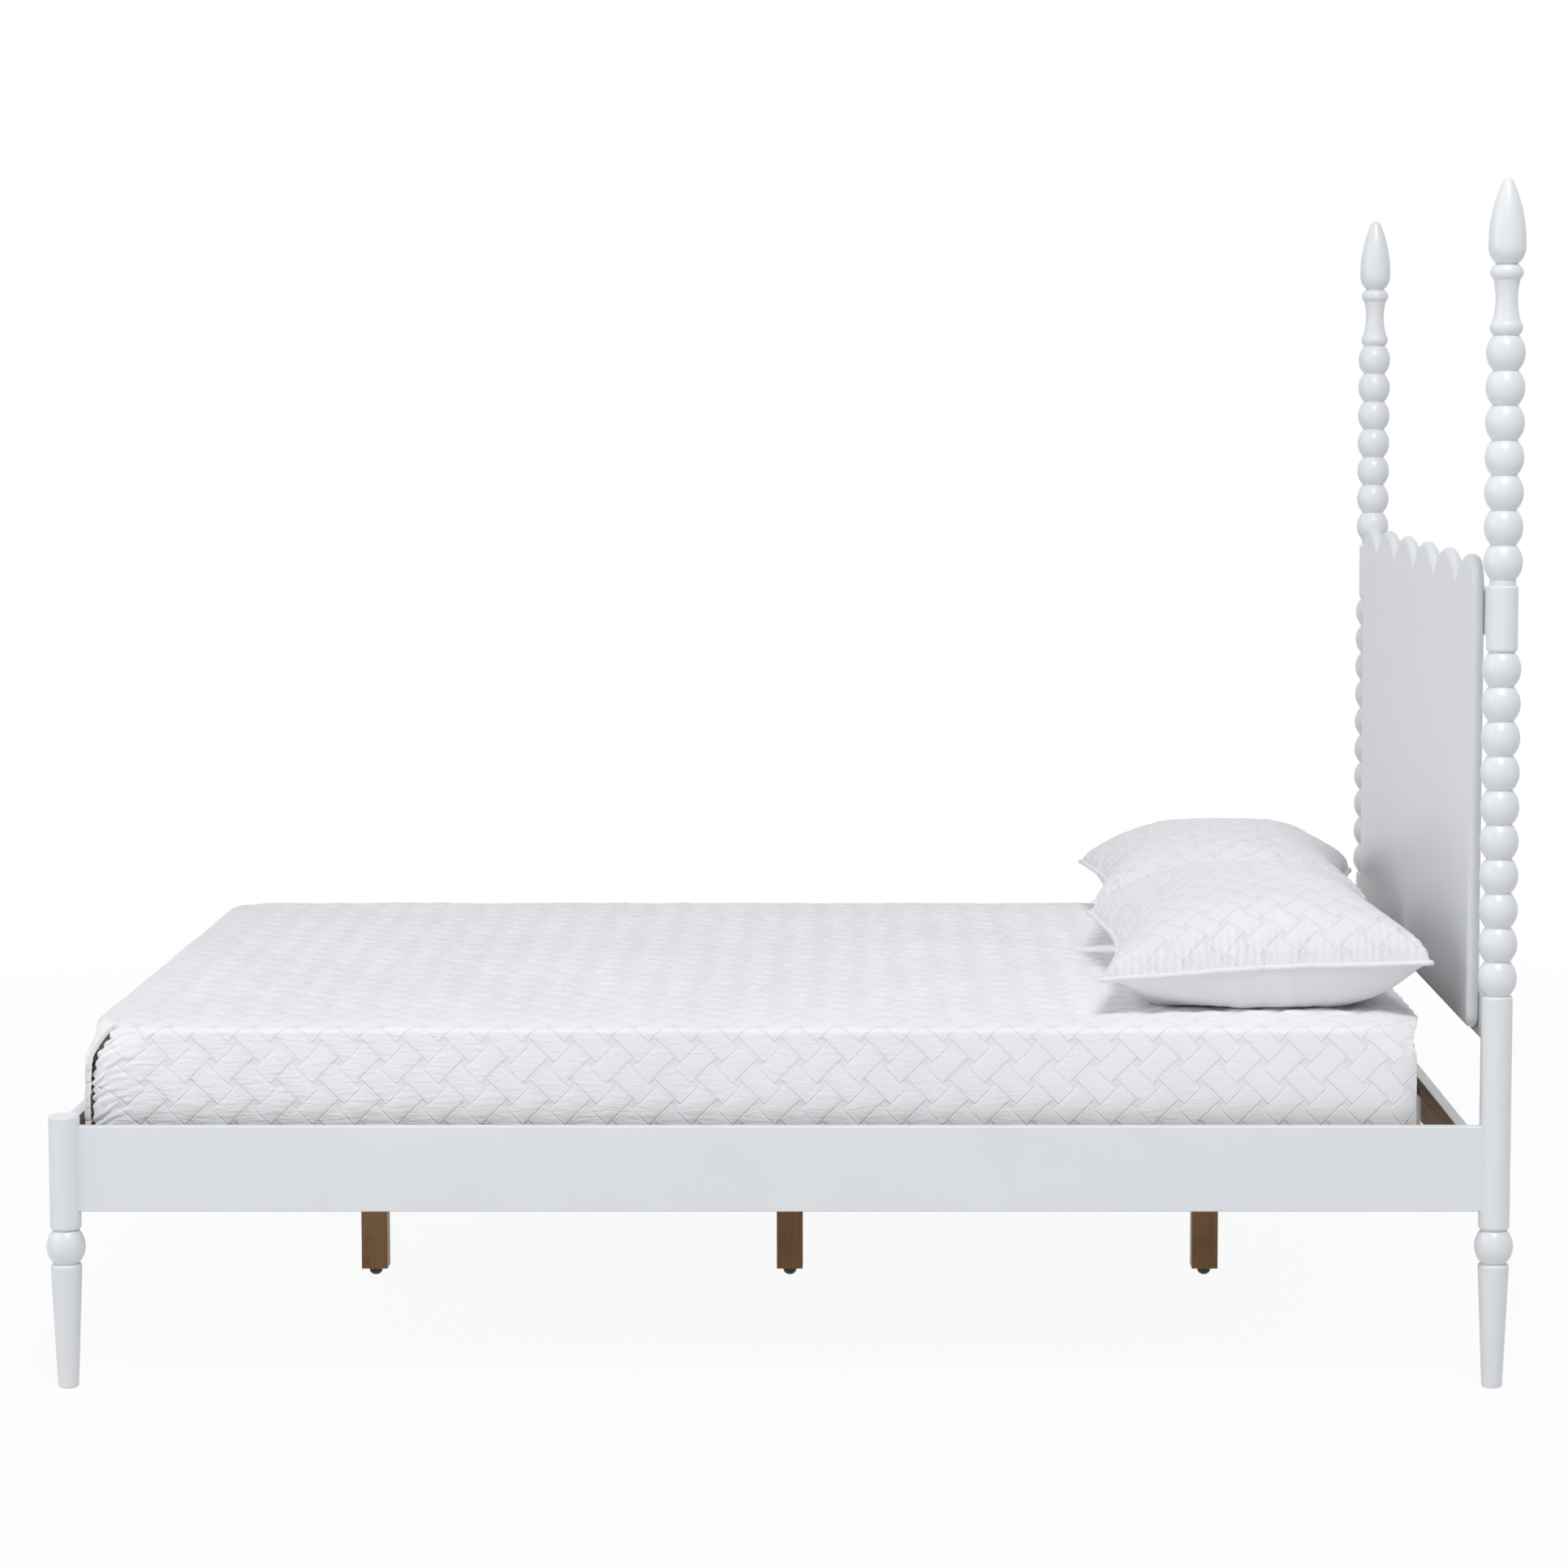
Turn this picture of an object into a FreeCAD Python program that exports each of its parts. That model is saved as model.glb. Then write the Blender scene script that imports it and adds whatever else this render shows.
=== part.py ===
import FreeCAD, Part
import os
from collections import namedtuple
from math import sqrt

# Spindle platform bed, in millimetres. X runs along the bed to the head, Y across it, Z up.
# The origin is on the floor, midway between the four post axes.

V = FreeCAD.Vector

# Mattress, and the room that the frame leaves round it
mattress_length = 1934.0
mattress_width = 1476.0
mattress_side_gap = 34.0
mattress_foot_gap = 22.4
mattress_head_gap = 65.6

# Turned posts, from the floor up
post_diameter = 45.0
bead_diameter = 56.0
groove_diameter = 36.0
foot_diameter = 30.0
foot_rounding = 2.0
foot_height = 176.0
shoulder_height = 5.5
ball_height = 49.5
lower_plain_height = 329.5
bead_height = 49.35
lower_bead_count = 10
upper_bead_count = 7
block_height = 89.0
block_rounding = 3.0
foot_post_height = 398.0
foot_post_rounding = 5.0

# Upper posts: neck, rings, waist and finial above the block
neck_diameter = 38.0
neck_height = 8.5
neck_rounding = 2.0
ring_diameter = 47.0
lower_ring_height = 19.3
waist_height = 59.4
waist_base_diameter = 41.0
waist_diameter = 31.4
waist_top_diameter = 38.4
waist_rise_share = 0.56
upper_ring_height = 21.0
finial_neck_diameter = 29.6
finial_diameter = 53.4
finial_base_height = 24.5
finial_base_mid_shares = (0.88, 0.44)
finial_spear_height = 88.7
finial_spear_mid_shares = (0.77, 0.615)
finial_tip_diameter = 18.6
finial_tip_height = 7.3

# Rails
rail_thickness = 19.0
rail_edge_rounding = 2.0
rail_seat_depth = 2.5
rail_bottom = 258.0
side_rail_height = 124.0
foot_rail_height = 128.0
cross_rail_height = 66.0
lower_rail_drop = 6.0

# Headboard panel
panel_side_gap = 84.0
panel_height = 691.0
panel_thickness = 19.0
panel_edge_rounding = 9.0
panel_rail_reveal = 13.0
scallop_count = 6
scallop_end_reach = 62.5
scallop_depth = 44.0
scallop_cusp_radius = 3.0
panel_corner_radius = 46.0
panel_foot_radius = 20.0

# Slats and what carries them
cleat_width = 28.0
cleat_height = 28.0
cleat_end_gap = 40.0
slat_count = 14
slat_width = 70.0
slat_thickness = 18.0
slat_end_gap = 2.0
slat_bed_margin = 49.5
slat_rounding = 1.5
beam_width = 40.0
beam_height = 46.0
bracket_thickness = 2.5
bracket_flange = 24.0
bracket_reach = 50.0
bracket_drop = 5.0
bracket_play = 0.5

# Centre legs and their glides
leg_width = 42.0
leg_end_distance = 355.0
leg_rounding = 1.5
glide_height = 13.0
glide_diameter = 21.0
glide_dome_share = 0.125
glide_rest_gap = 0.3
glide_stem_diameter = 6.0
glide_stem_spare = 1.0
glide_hole_spare = 6.0
glide_stem_play = 0.1
glide_travel = 12.0
tee_nut_flange_diameter = 19.0
tee_nut_flange_height = 1.6
tee_nut_barrel_diameter = 9.0
tee_nut_height = 11.0

# Fasteners
fit = 0.2
overrun = 1.0
dowel_diameter = 10.0
dowel_rail_depth = 24.0
dowel_tip_gap = 2.0
dowel_spread_share = 0.32
bolt_diameter = 8.0
bolt_head_diameter = 16.0
bolt_head_height = 6.0
bolt_head_recess = 8.0
bolt_past_nut = 8.0
barrel_nut_diameter = 14.0
barrel_nut_distance = 35.0
barrel_nut_web = 3.0
post_screw_diameter = 8.0
post_screw_length = 70.0
leg_bolt_diameter = 8.0
leg_bolt_length = 78.0
leg_bolt_beam_depth = 34.0
screw_diameter = 4.5
screw_head_diameter = 9.0
screw_head_height = 3.0
panel_screw_length = 32.0
panel_screw_count = 5
panel_screw_margin = 150.0
cleat_screw_length = 40.0
cleat_screw_count = 8
cleat_screw_margin = 90.0
slat_screw_length = 36.0
bracket_screw_length = 16.0

# Bedding
mattress_height = 192.0
mattress_crown = 7.0
mattress_corner_radius = 30.0
mattress_edge_width = 70.0
mattress_rest_gap = 0.3
# Height share and edge inset share of each section, from the underside to the crown's rim
mattress_section_shares = (
    (0.0, 0.2), (0.08, 0.05), (0.3, 0.0), (0.62, 0.0), (0.8, 0.04),
    (0.9, 0.14), (0.955, 0.3), (0.985, 0.52), (1.0, 1.0),
)
mattress_crown_inset_share = 0.21
coverlet_thickness = 6.5
coverlet_gap = 0.4
coverlet_hem_height = 14.0
coverlet_split_width = 6.0
coverlet_split_depth = 24.0
pillow_side_gap = 48.0
pillow_depth = 481.0
pillow_height = 185.0
pillow_gap = 60.0
pillow_seam_share = 0.34
pillow_draw_in = 16.0
pillow_rest_gap = 0.4
near_pillow_head_gap = 52.5
far_pillow_head_gap = 15.5
pillow_crown_power = 2.9
pillow_draw_power = 6
pillow_corner_share = 0.06
pillow_corner_growth_share = 0.6
pillow_crown_shares = (0.97, 0.92, 0.84, 0.74, 0.62, 0.48, 0.32, 0.14)
pillow_under_shares = (0.68, 0.76, 0.85, 0.93)

# Worked out from the sizes above
length_between_posts = (
    mattress_length + mattress_foot_gap + mattress_head_gap + panel_thickness + rail_thickness
)
width_between_posts = mattress_width + 2 * mattress_side_gap + rail_thickness
half_length = length_between_posts / 2
half_width = width_between_posts / 2
post_radius = post_diameter / 2
bead_radius = bead_diameter / 2
groove_radius = groove_diameter / 2
neck_radius = neck_diameter / 2
seat_offset = post_radius - rail_seat_depth
lower_plain_top = foot_height + 2 * shoulder_height + ball_height + lower_plain_height
block_bottom = lower_plain_top + 2 * shoulder_height + lower_bead_count * bead_height
block_top = block_bottom + block_height
lower_rail_bottom = lower_plain_top - lower_rail_drop - cross_rail_height
upper_rail_bottom = block_bottom + (block_height - cross_rail_height) / 2
side_rail_inner = half_width - rail_thickness / 2
end_rail_inner = half_length - rail_thickness / 2
panel_width = width_between_posts - post_diameter - 2 * panel_side_gap
scallop_width = (panel_width - 2 * scallop_end_reach) / (scallop_count - 1)
panel_back = end_rail_inner
panel_bottom = lower_rail_bottom + panel_rail_reveal
panel_top = panel_bottom + panel_height
beam_bottom = rail_bottom
slat_bottom = beam_bottom + beam_height
slat_top = slat_bottom + slat_thickness
leg_spacing = half_length - leg_end_distance
glide_stem_length = tee_nut_height + glide_travel + glide_stem_spare
glide_hole_depth = glide_stem_length + glide_hole_spare
dowel_tip = max(dowel_diameter, bolt_diameter) / 2 + dowel_tip_gap
coverlet_offset = coverlet_gap + coverlet_thickness
mattress_foot = -end_rail_inner + mattress_foot_gap
mattress_bottom = slat_top + mattress_rest_gap
pillow_length = (mattress_width - pillow_gap) / 2 - pillow_side_gap
pillow_bottom = mattress_bottom + mattress_height + mattress_crown + coverlet_offset + pillow_rest_gap

SIDES = (("near", -1), ("far", 1))
ENDS = (("foot", -1), ("head", 1))
CROSS_RAILS = {
    "foot": (("foot_rail", rail_bottom, foot_rail_height),),
    "head": (
        ("head_rail", rail_bottom, cross_rail_height),
        ("headboard_lower_rail", lower_rail_bottom, cross_rail_height),
        ("headboard_upper_rail", upper_rail_bottom, cross_rail_height),
    ),
}
RailEnd = namedtuple("RailEnd", "rail post axis into bottom height")
UP = V(0, 0, 1)


class Turning:
    """Half outline of a turned piece, drawn upwards from its axis and then revolved."""

    def __init__(self, bottom):
        self.last = V(0, 0, bottom)
        self.edges = []

    def line(self, radius, rise):
        """Straight stretch to a radius, some way further up."""
        end = V(radius, 0, self.last.z + rise)
        self.edges.append(Part.makeLine(self.last, end))
        self.last = end

    def arc(self, mid_radius, mid_rise, radius, rise):
        """Round stretch through a middle point."""
        middle = V(mid_radius, 0, self.last.z + mid_rise)
        end = V(radius, 0, self.last.z + rise)
        self.edges.append(Part.Arc(self.last, middle, end).toShape())
        self.last = end

    def bead(self, radius, height, end_radius):
        """One round bead or ring, fullest at half its height."""
        self.arc(radius, height / 2, end_radius, height)

    def shoulder(self, radius, rise):
        """Quarter round between a wide stretch and a narrower one."""
        wide, step, eased = max(radius, self.last.x), abs(radius - self.last.x), 1 / sqrt(2)
        mid_rise = rise * (eased if radius < self.last.x else 1 - eased)
        self.arc(wide - step * (1 - eased), mid_rise, radius, rise)

    def dome(self, rise):
        """Round cap that closes on the axis."""
        radius = (self.last.x ** 2 + rise ** 2) / (2 * rise)
        centre = V(0, 0, self.last.z + rise - radius)
        end = centre + UP * radius
        middle = centre + (self.last + end - centre * 2).normalize() * radius
        self.edges.append(Part.Arc(self.last, middle, end).toShape())
        self.last = end

    def solid(self, place):
        """The outline turned about the vertical line through a place."""
        start = self.edges[0].Vertexes[0].Point
        axis_line = [] if self.last.x == 0 else [Part.makeLine(self.last, V(0, 0, self.last.z))]
        top = V(0, 0, self.last.z)
        wire = Part.Wire(self.edges + axis_line + [Part.makeLine(top, start)])
        turned = Part.Face(wire).revolve(V(0, 0, 0), UP, 360)
        turned.translate(place)
        return turned


def box(low, high):
    """Box between two opposite corners."""
    size = high - low
    return Part.makeBox(size.x, size.y, size.z, low)


def rod(start, way, length, diameter):
    """Round bar from a point along a unit vector."""
    return Part.makeCylinder(diameter / 2, length, start, way)


def rounded_along(solid, way, radius):
    """The bar with its long edges eased."""
    long_edges = [edge for edge in solid.Edges if abs(edge.tangentAt(edge.FirstParameter).dot(way)) > 0.99]
    return solid.makeFillet(radius, long_edges)


def evenly(low, high, count):
    """Count values from low to high, both included."""
    return [low + (high - low) * i / (count - 1) for i in range(count)]


def screw(head, way, length, play=0.0):
    """Countersunk screw with its flat head at a point, or with play, the hole for it."""
    radius = screw_diameter / 2 + play
    head_radius = screw_head_diameter / 2 + play
    cone = Part.makeCone(head_radius, radius, screw_head_height, head, way)
    return cone.fuse(rod(head, way, length + play, 2 * radius)).removeSplitter()


def save(name, shape):
    """Write one sub-part."""
    shape.exportStep(f"parts/{name}.step")


def post_axis(end, side):
    """Foot of a post's axis on the floor."""
    return V(end * half_length, side * half_width, 0)


def rail_ends():
    """Every rail end, with the post that it seats on and the way into the rail."""
    found = []
    for side_name, side in SIDES:
        for end_name, end in ENDS:
            post = f"{end_name}_post_{side_name}"
            axis = post_axis(end, side)
            side_rail = f"side_rail_{side_name}"
            found.append(RailEnd(side_rail, post, axis, V(-end, 0, 0), rail_bottom, side_rail_height))
            for rail, bottom, height in CROSS_RAILS[end_name]:
                found.append(RailEnd(rail, post, axis, V(0, -side, 0), bottom, height))
    return found


def across(joint):
    """Unit vector across the thickness of a joint's rail."""
    return V(abs(joint.into.y), abs(joint.into.x), 0)


def at_height(joint, along, height):
    """Point a distance from the post axis towards the rail, at a height."""
    return joint.axis + joint.into * along + UP * height


def middle_height(joint):
    """Height of the middle of a joint's rail."""
    return joint.bottom + joint.height / 2


def is_bolted(joint):
    """Side rails are bolted on, and the other rails are glued."""
    return joint.rail.startswith("side_rail")


def rail_seat(joint):
    """Flat seat cut into a post for the end of a rail."""
    half = across(joint) * (rail_thickness / 2 + fit)
    inner = at_height(joint, seat_offset, joint.bottom - fit) - half
    outer = at_height(joint, bead_diameter, joint.bottom + joint.height + fit) + half
    low = V(min(inner.x, outer.x), min(inner.y, outer.y), inner.z)
    high = V(max(inner.x, outer.x), max(inner.y, outer.y), outer.z)
    return box(low, high)


def dowels(joint, play=0.0):
    """The two dowels of a rail end, or with play, the holes for them."""
    spread = joint.height * dowel_spread_share
    length = seat_offset + dowel_rail_depth - dowel_tip
    heights = (middle_height(joint) - spread, middle_height(joint) + spread)
    starts = [at_height(joint, dowel_tip - play, height) for height in heights]
    return [rod(start, joint.into, length + 2 * play, dowel_diameter + 2 * play) for start in starts]


def bolt_head_seat(joint):
    """Point under the head of a bed bolt, on the outer side of the post."""
    return at_height(joint, bolt_head_recess - post_radius, middle_height(joint))


def bolt_length():
    """Length of a bed bolt's shank."""
    return post_radius - bolt_head_recess + seat_offset + barrel_nut_distance + bolt_past_nut


def bed_bolt(joint):
    """Bed bolt through a post into a side rail."""
    seat = bolt_head_seat(joint)
    head = rod(seat, -joint.into, bolt_head_height, bolt_head_diameter)
    return head.fuse(rod(seat, joint.into, bolt_length(), bolt_diameter)).removeSplitter()


def bolt_bore(joint):
    """Bore and recess for a bed bolt."""
    seat = bolt_head_seat(joint)
    recess = rod(seat, -joint.into, bead_diameter, bolt_head_diameter + 2 * fit)
    return recess.fuse(rod(seat, joint.into, bolt_length() + fit, bolt_diameter + 2 * fit))


def barrel_nut_start(joint):
    """Outer end of a barrel nut, on its own axis across the rail."""
    centre = at_height(joint, seat_offset + barrel_nut_distance, middle_height(joint))
    outward = V(0, 1 if joint.axis.y > 0 else -1, 0)
    return centre + outward * (rail_thickness / 2 - barrel_nut_web), -outward


def barrel_nut(joint):
    """Cross-drilled barrel nut inside a side rail."""
    start, inward = barrel_nut_start(joint)
    nut = rod(start, inward, rail_thickness - 2 * barrel_nut_web, barrel_nut_diameter)
    return nut.cut(rod(bolt_head_seat(joint), joint.into, bolt_length() + fit, bolt_diameter + 2 * fit))


def barrel_nut_hole(joint):
    """Blind hole for a barrel nut, open to the inside of the bed."""
    start, inward = barrel_nut_start(joint)
    return rod(start - inward * fit, inward, rail_thickness + overrun, barrel_nut_diameter + 2 * fit)


def tapered_foot(outline):
    """Foot, ball and the shoulders beside them, up to the plain stretch of a post."""
    foot_radius = foot_diameter / 2
    outline.line(foot_radius - foot_rounding, 0)
    outline.line(foot_radius, foot_rounding)
    outline.line(post_radius, foot_height - foot_rounding)
    outline.shoulder(groove_radius, shoulder_height)
    outline.bead(bead_radius, ball_height, groove_radius)
    outline.shoulder(post_radius, shoulder_height)


def fitted_post(name, solid, joints):
    """A turned post with its rail seats, dowel holes and bolt bores cut."""
    for joint in [joint for joint in joints if joint.post == name]:
        solid = solid.cut(rail_seat(joint))
        for hole in dowels(joint, fit):
            solid = solid.cut(hole)
        if is_bolted(joint):
            solid = solid.cut(bolt_bore(joint))
    return solid


def head_post(name, end, side, joints):
    """Lower head post: foot, plain stretch, lower beads and block."""
    outline = Turning(0)
    tapered_foot(outline)
    outline.line(post_radius, lower_plain_height)
    outline.shoulder(groove_radius, shoulder_height)
    for _ in range(lower_bead_count):
        outline.bead(bead_radius, bead_height, groove_radius)
    outline.shoulder(post_radius, shoulder_height)
    outline.line(post_radius, block_height - block_rounding)
    outline.shoulder(neck_radius, block_rounding)
    post = fitted_post(name, outline.solid(post_axis(end, side)), joints)
    return post.cut(upper_post_screw(end, side, fit))


def upper_post(end, side):
    """Upper head post: neck, beads, rings, waist and finial."""
    outline = Turning(block_top)
    outline.line(neck_radius, 0)
    outline.line(neck_radius, neck_height - neck_rounding)
    outline.shoulder(groove_radius, neck_rounding)
    for _ in range(upper_bead_count):
        outline.bead(bead_radius, bead_height, groove_radius)
    outline.bead(ring_diameter / 2, lower_ring_height, waist_base_diameter / 2)
    outline.arc(waist_diameter / 2, waist_height * waist_rise_share, waist_top_diameter / 2, waist_height)
    outline.bead(ring_diameter / 2, upper_ring_height, finial_neck_diameter / 2)
    finial_stretches = (
        (finial_diameter, finial_base_height, finial_base_mid_shares),
        (finial_tip_diameter, finial_spear_height, finial_spear_mid_shares),
    )
    for end_diameter, height, (radius_share, rise_share) in finial_stretches:
        outline.arc(finial_diameter / 2 * radius_share, height * rise_share, end_diameter / 2, height)
    outline.dome(finial_tip_height)
    return outline.solid(post_axis(end, side)).cut(upper_post_screw(end, side, fit))


def upper_post_screw(end, side, play=0.0):
    """Double-ended screw that joins an upper post to its lower post, or with play, the hole for it."""
    start = post_axis(end, side) + UP * (block_top - post_screw_length / 2 - play)
    return rod(start, UP, post_screw_length + 2 * play, post_screw_diameter + 2 * play)


def foot_post(name, end, side, joints):
    """Short foot post with a rounded top."""
    outline = Turning(0)
    tapered_foot(outline)
    outline.line(post_radius, foot_post_height - foot_post_rounding - outline.last.z)
    outline.shoulder(post_radius - foot_post_rounding, foot_post_rounding)
    return fitted_post(name, outline.solid(post_axis(end, side)), joints)


def rail(name, joints):
    """A rail between its two posts, with the holes for what joins it."""
    first, second = [joint for joint in joints if joint.rail == name]
    half = across(first) * (rail_thickness / 2)
    corners = [at_height(first, seat_offset, first.bottom), at_height(second, seat_offset, second.bottom)]
    xs = [corner.x for corner in corners]
    ys = [corner.y for corner in corners]
    low = V(min(xs), min(ys), first.bottom) - half
    high = V(max(xs), max(ys), first.bottom + first.height) + half
    solid = rounded_along(box(low, high), first.into, rail_edge_rounding)
    for joint in (first, second):
        for hole in dowels(joint, fit):
            solid = solid.cut(hole)
        if is_bolted(joint):
            solid = solid.cut(bolt_bore(joint)).cut(barrel_nut_hole(joint))
    return solid


def panel_screws(play=0.0):
    """Screws from the back of both cross rails into the panel, or with play, the holes for them."""
    reach = panel_width / 2 - panel_screw_margin
    places = evenly(-reach, reach, panel_screw_count)
    heights = [bottom + cross_rail_height / 2 for bottom in (lower_rail_bottom, upper_rail_bottom)]
    back = panel_back + rail_thickness
    return [screw(V(back, y, z), V(-1, 0, 0), panel_screw_length, play) for y in places for z in heights]


def panel_outline():
    """Scalloped outline of the panel, in the plane of its back face."""
    half = panel_width / 2
    radius = (scallop_width ** 2 / 4 + scallop_depth ** 2) / (2 * scallop_depth)
    centre_height = panel_top - radius
    first_peak = -scallop_width * (scallop_count - 1) / 2
    peaks = [first_peak + scallop_width * i for i in range(scallop_count)]

    def point(y, z):
        return V(panel_back, y, z)

    def on_circle(centre, towards, size):
        return centre + (towards - centre).normalize() * size

    def corner(side):
        """Tangent arc from the outermost scallop down to a side edge: its two ends and its centre."""
        scallop = point(side * -first_peak, centre_height)
        offset = half - panel_corner_radius + first_peak
        rise = sqrt((radius - panel_corner_radius) ** 2 - offset ** 2)
        centre = point(side * (half - panel_corner_radius), centre_height + rise)
        return on_circle(scallop, centre, radius), centre + V(0, side * panel_corner_radius, 0), centre

    def round_between(start, centre, size, end):
        """Arc about a centre, the short way from start to end."""
        middle = on_circle(centre, (start + end) / 2, size)
        return Part.Arc(start, middle, end).toShape()

    def foot_corner(side):
        """Rounded bottom corner: its upper end, its centre and its lower end."""
        centre = point(side * (half - panel_foot_radius), panel_bottom + panel_foot_radius)
        return centre + V(0, side * panel_foot_radius, 0), centre, centre - UP * panel_foot_radius

    near_top, near_side, near_centre = corner(-1)
    far_top, far_side, far_centre = corner(1)
    near_foot, near_foot_centre, near_sole = foot_corner(-1)
    far_foot, far_foot_centre, far_sole = foot_corner(1)
    edges = [
        Part.makeLine(far_sole, near_sole),
        round_between(near_sole, near_foot_centre, panel_foot_radius, near_foot),
        Part.makeLine(near_foot, near_side),
        round_between(near_side, near_centre, panel_corner_radius, near_top),
    ]
    last = near_top
    cusp_rise = sqrt((radius + scallop_cusp_radius) ** 2 - scallop_width ** 2 / 4)
    for peak, following in zip(peaks[:-1], peaks[1:]):
        cusp = point((peak + following) / 2, centre_height + cusp_rise)
        down = on_circle(point(peak, centre_height), cusp, radius)
        up = on_circle(point(following, centre_height), cusp, radius)
        edges.append(Part.Arc(last, point(peak, panel_top), down).toShape())
        edges.append(Part.Arc(down, cusp - UP * scallop_cusp_radius, up).toShape())
        last = up
    edges.append(Part.Arc(last, point(peaks[-1], panel_top), far_top).toShape())
    edges.append(round_between(far_top, far_centre, panel_corner_radius, far_side))
    edges.append(Part.makeLine(far_side, far_foot))
    edges.append(round_between(far_foot, far_foot_centre, panel_foot_radius, far_sole))
    return Part.Wire(edges)


def headboard_panel():
    """Scalloped panel with rounded edges."""
    board = Part.Face(panel_outline()).extrude(V(-panel_thickness, 0, 0))
    rims = [edge for edge in board.Edges if edge.BoundBox.XLength < fit]
    board = board.makeFillet(panel_edge_rounding, rims)
    for hole in panel_screws(fit):
        board = board.cut(hole)
    return board


def cleat_screws(side, play=0.0):
    """Screws from a cleat into its side rail, or with play, the holes for them."""
    reach = half_length - seat_offset - cleat_end_gap - cleat_screw_margin
    height = slat_bottom - cleat_height / 2
    face = side * (side_rail_inner - cleat_width)
    places = evenly(-reach, reach, cleat_screw_count)
    return [screw(V(x, face, height), V(0, side, 0), cleat_screw_length, play) for x in places]


def slat_cleat(side):
    """Ledge on the inside of a side rail."""
    reach = half_length - seat_offset - cleat_end_gap
    inner = side * (side_rail_inner - cleat_width)
    outer = side * side_rail_inner
    low = V(-reach, min(inner, outer), slat_bottom - cleat_height)
    cleat = box(low, V(reach, max(inner, outer), slat_bottom))
    for hole in cleat_screws(side, fit):
        cleat = cleat.cut(hole)
    for x in slat_places():
        cleat = cleat.cut(slat_screw(x, side, fit))
    return cleat


def slat_places():
    """Middles of the slats along the bed."""
    reach = end_rail_inner - slat_bed_margin - slat_width / 2
    return evenly(-reach, reach, slat_count)


def slat_screw(x, row, play=0.0):
    """Screw through a slat into a cleat, or at row 0 into the beam, or with play, the hole for it."""
    y = row * (side_rail_inner - cleat_width / 2)
    return screw(V(x, y, slat_top), -UP, slat_screw_length, play)


def slat(x):
    """One slat across the bed."""
    reach = side_rail_inner - slat_end_gap
    low = V(x - slat_width / 2, -reach, slat_bottom)
    board = rounded_along(box(low, V(x + slat_width / 2, reach, slat_top)), V(0, 1, 0), slat_rounding)
    for row in (-1, 0, 1):
        board = board.cut(slat_screw(x, row, fit))
    return board


def leg_places():
    """Middles of the centre legs along the bed, by name."""
    return (("foot", -leg_spacing), ("middle", 0), ("head", leg_spacing))


def leg_bolt(x, play=0.0):
    """Double-ended bolt between a centre leg and the beam, or with play, the hole for it."""
    start = V(x, 0, beam_bottom + leg_bolt_beam_depth - leg_bolt_length - play)
    return rod(start, UP, leg_bolt_length + 2 * play, leg_bolt_diameter + 2 * play)


def centre_beam():
    """Lengthwise beam under the slats."""
    reach = end_rail_inner - bracket_thickness - bracket_play
    beam = box(V(-reach, -beam_width / 2, beam_bottom), V(reach, beam_width / 2, slat_bottom))
    for _, x in leg_places():
        beam = beam.cut(leg_bolt(x, fit))
    for x in slat_places():
        beam = beam.cut(slat_screw(x, 0, fit))
    return beam


def bracket_screws(end, play=0.0):
    """Screws from a beam hanger into its rail, or with play, the holes for them."""
    across_beam = beam_width / 2 + bracket_thickness + bracket_play + bracket_flange / 2
    face = end * (end_rail_inner - bracket_thickness)
    heights = evenly(beam_bottom, slat_bottom - bracket_drop, 4)[1:3]
    heads = [V(face, side * across_beam, height) for _, side in SIDES for height in heights]
    return [screw(head, V(end, 0, 0), bracket_screw_length, play) for head in heads]


def beam_bracket(end):
    """Steel hanger that carries one end of the beam: back plate, shelf and two cheeks."""
    back = end * end_rail_inner
    front = end * (end_rail_inner - bracket_thickness)
    mouth = end * (end_rail_inner - bracket_reach)
    inside = beam_width / 2 + bracket_play
    outside = inside + bracket_thickness
    shelf_bottom = beam_bottom - bracket_thickness
    top = slat_bottom - bracket_drop

    def plate(x_one, x_two, y_low, y_high, z_low, z_high):
        return box(V(min(x_one, x_two), y_low, z_low), V(max(x_one, x_two), y_high, z_high))

    hanger = plate(back, front, -outside - bracket_flange, outside + bracket_flange, shelf_bottom, top)
    hanger = hanger.fuse(plate(back, mouth, -outside, outside, shelf_bottom, beam_bottom))
    hanger = hanger.fuse(plate(back, mouth, inside, outside, shelf_bottom, top))
    hanger = hanger.fuse(plate(back, mouth, -outside, -inside, shelf_bottom, top)).removeSplitter()
    for hole in bracket_screws(end, fit):
        hanger = hanger.cut(hole)
    return hanger


def centre_leg(x):
    """Square leg under the beam."""
    half = leg_width / 2
    leg = box(V(x - half, -half, glide_height), V(x + half, half, beam_bottom))
    leg = rounded_along(leg, UP, leg_rounding)
    base = V(x, 0, glide_height)
    for diameter, depth in (
        (tee_nut_flange_diameter, tee_nut_flange_height),
        (tee_nut_barrel_diameter, tee_nut_height),
        (glide_stem_diameter, glide_hole_depth),
    ):
        leg = leg.cut(rod(base - UP * overrun, UP, depth + overrun + fit, diameter + 2 * fit))
    return leg.cut(leg_bolt(x, fit))


def leg_tee_nut(x):
    """Flanged nut in the bottom of a centre leg."""
    base = V(x, 0, glide_height)
    flange = rod(base, UP, tee_nut_flange_height, tee_nut_flange_diameter)
    nut = flange.fuse(rod(base, UP, tee_nut_height, tee_nut_barrel_diameter)).removeSplitter()
    bore_diameter = glide_stem_diameter + 2 * glide_stem_play
    return nut.cut(rod(base - UP * overrun, UP, tee_nut_height + 2 * overrun, bore_diameter))


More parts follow.
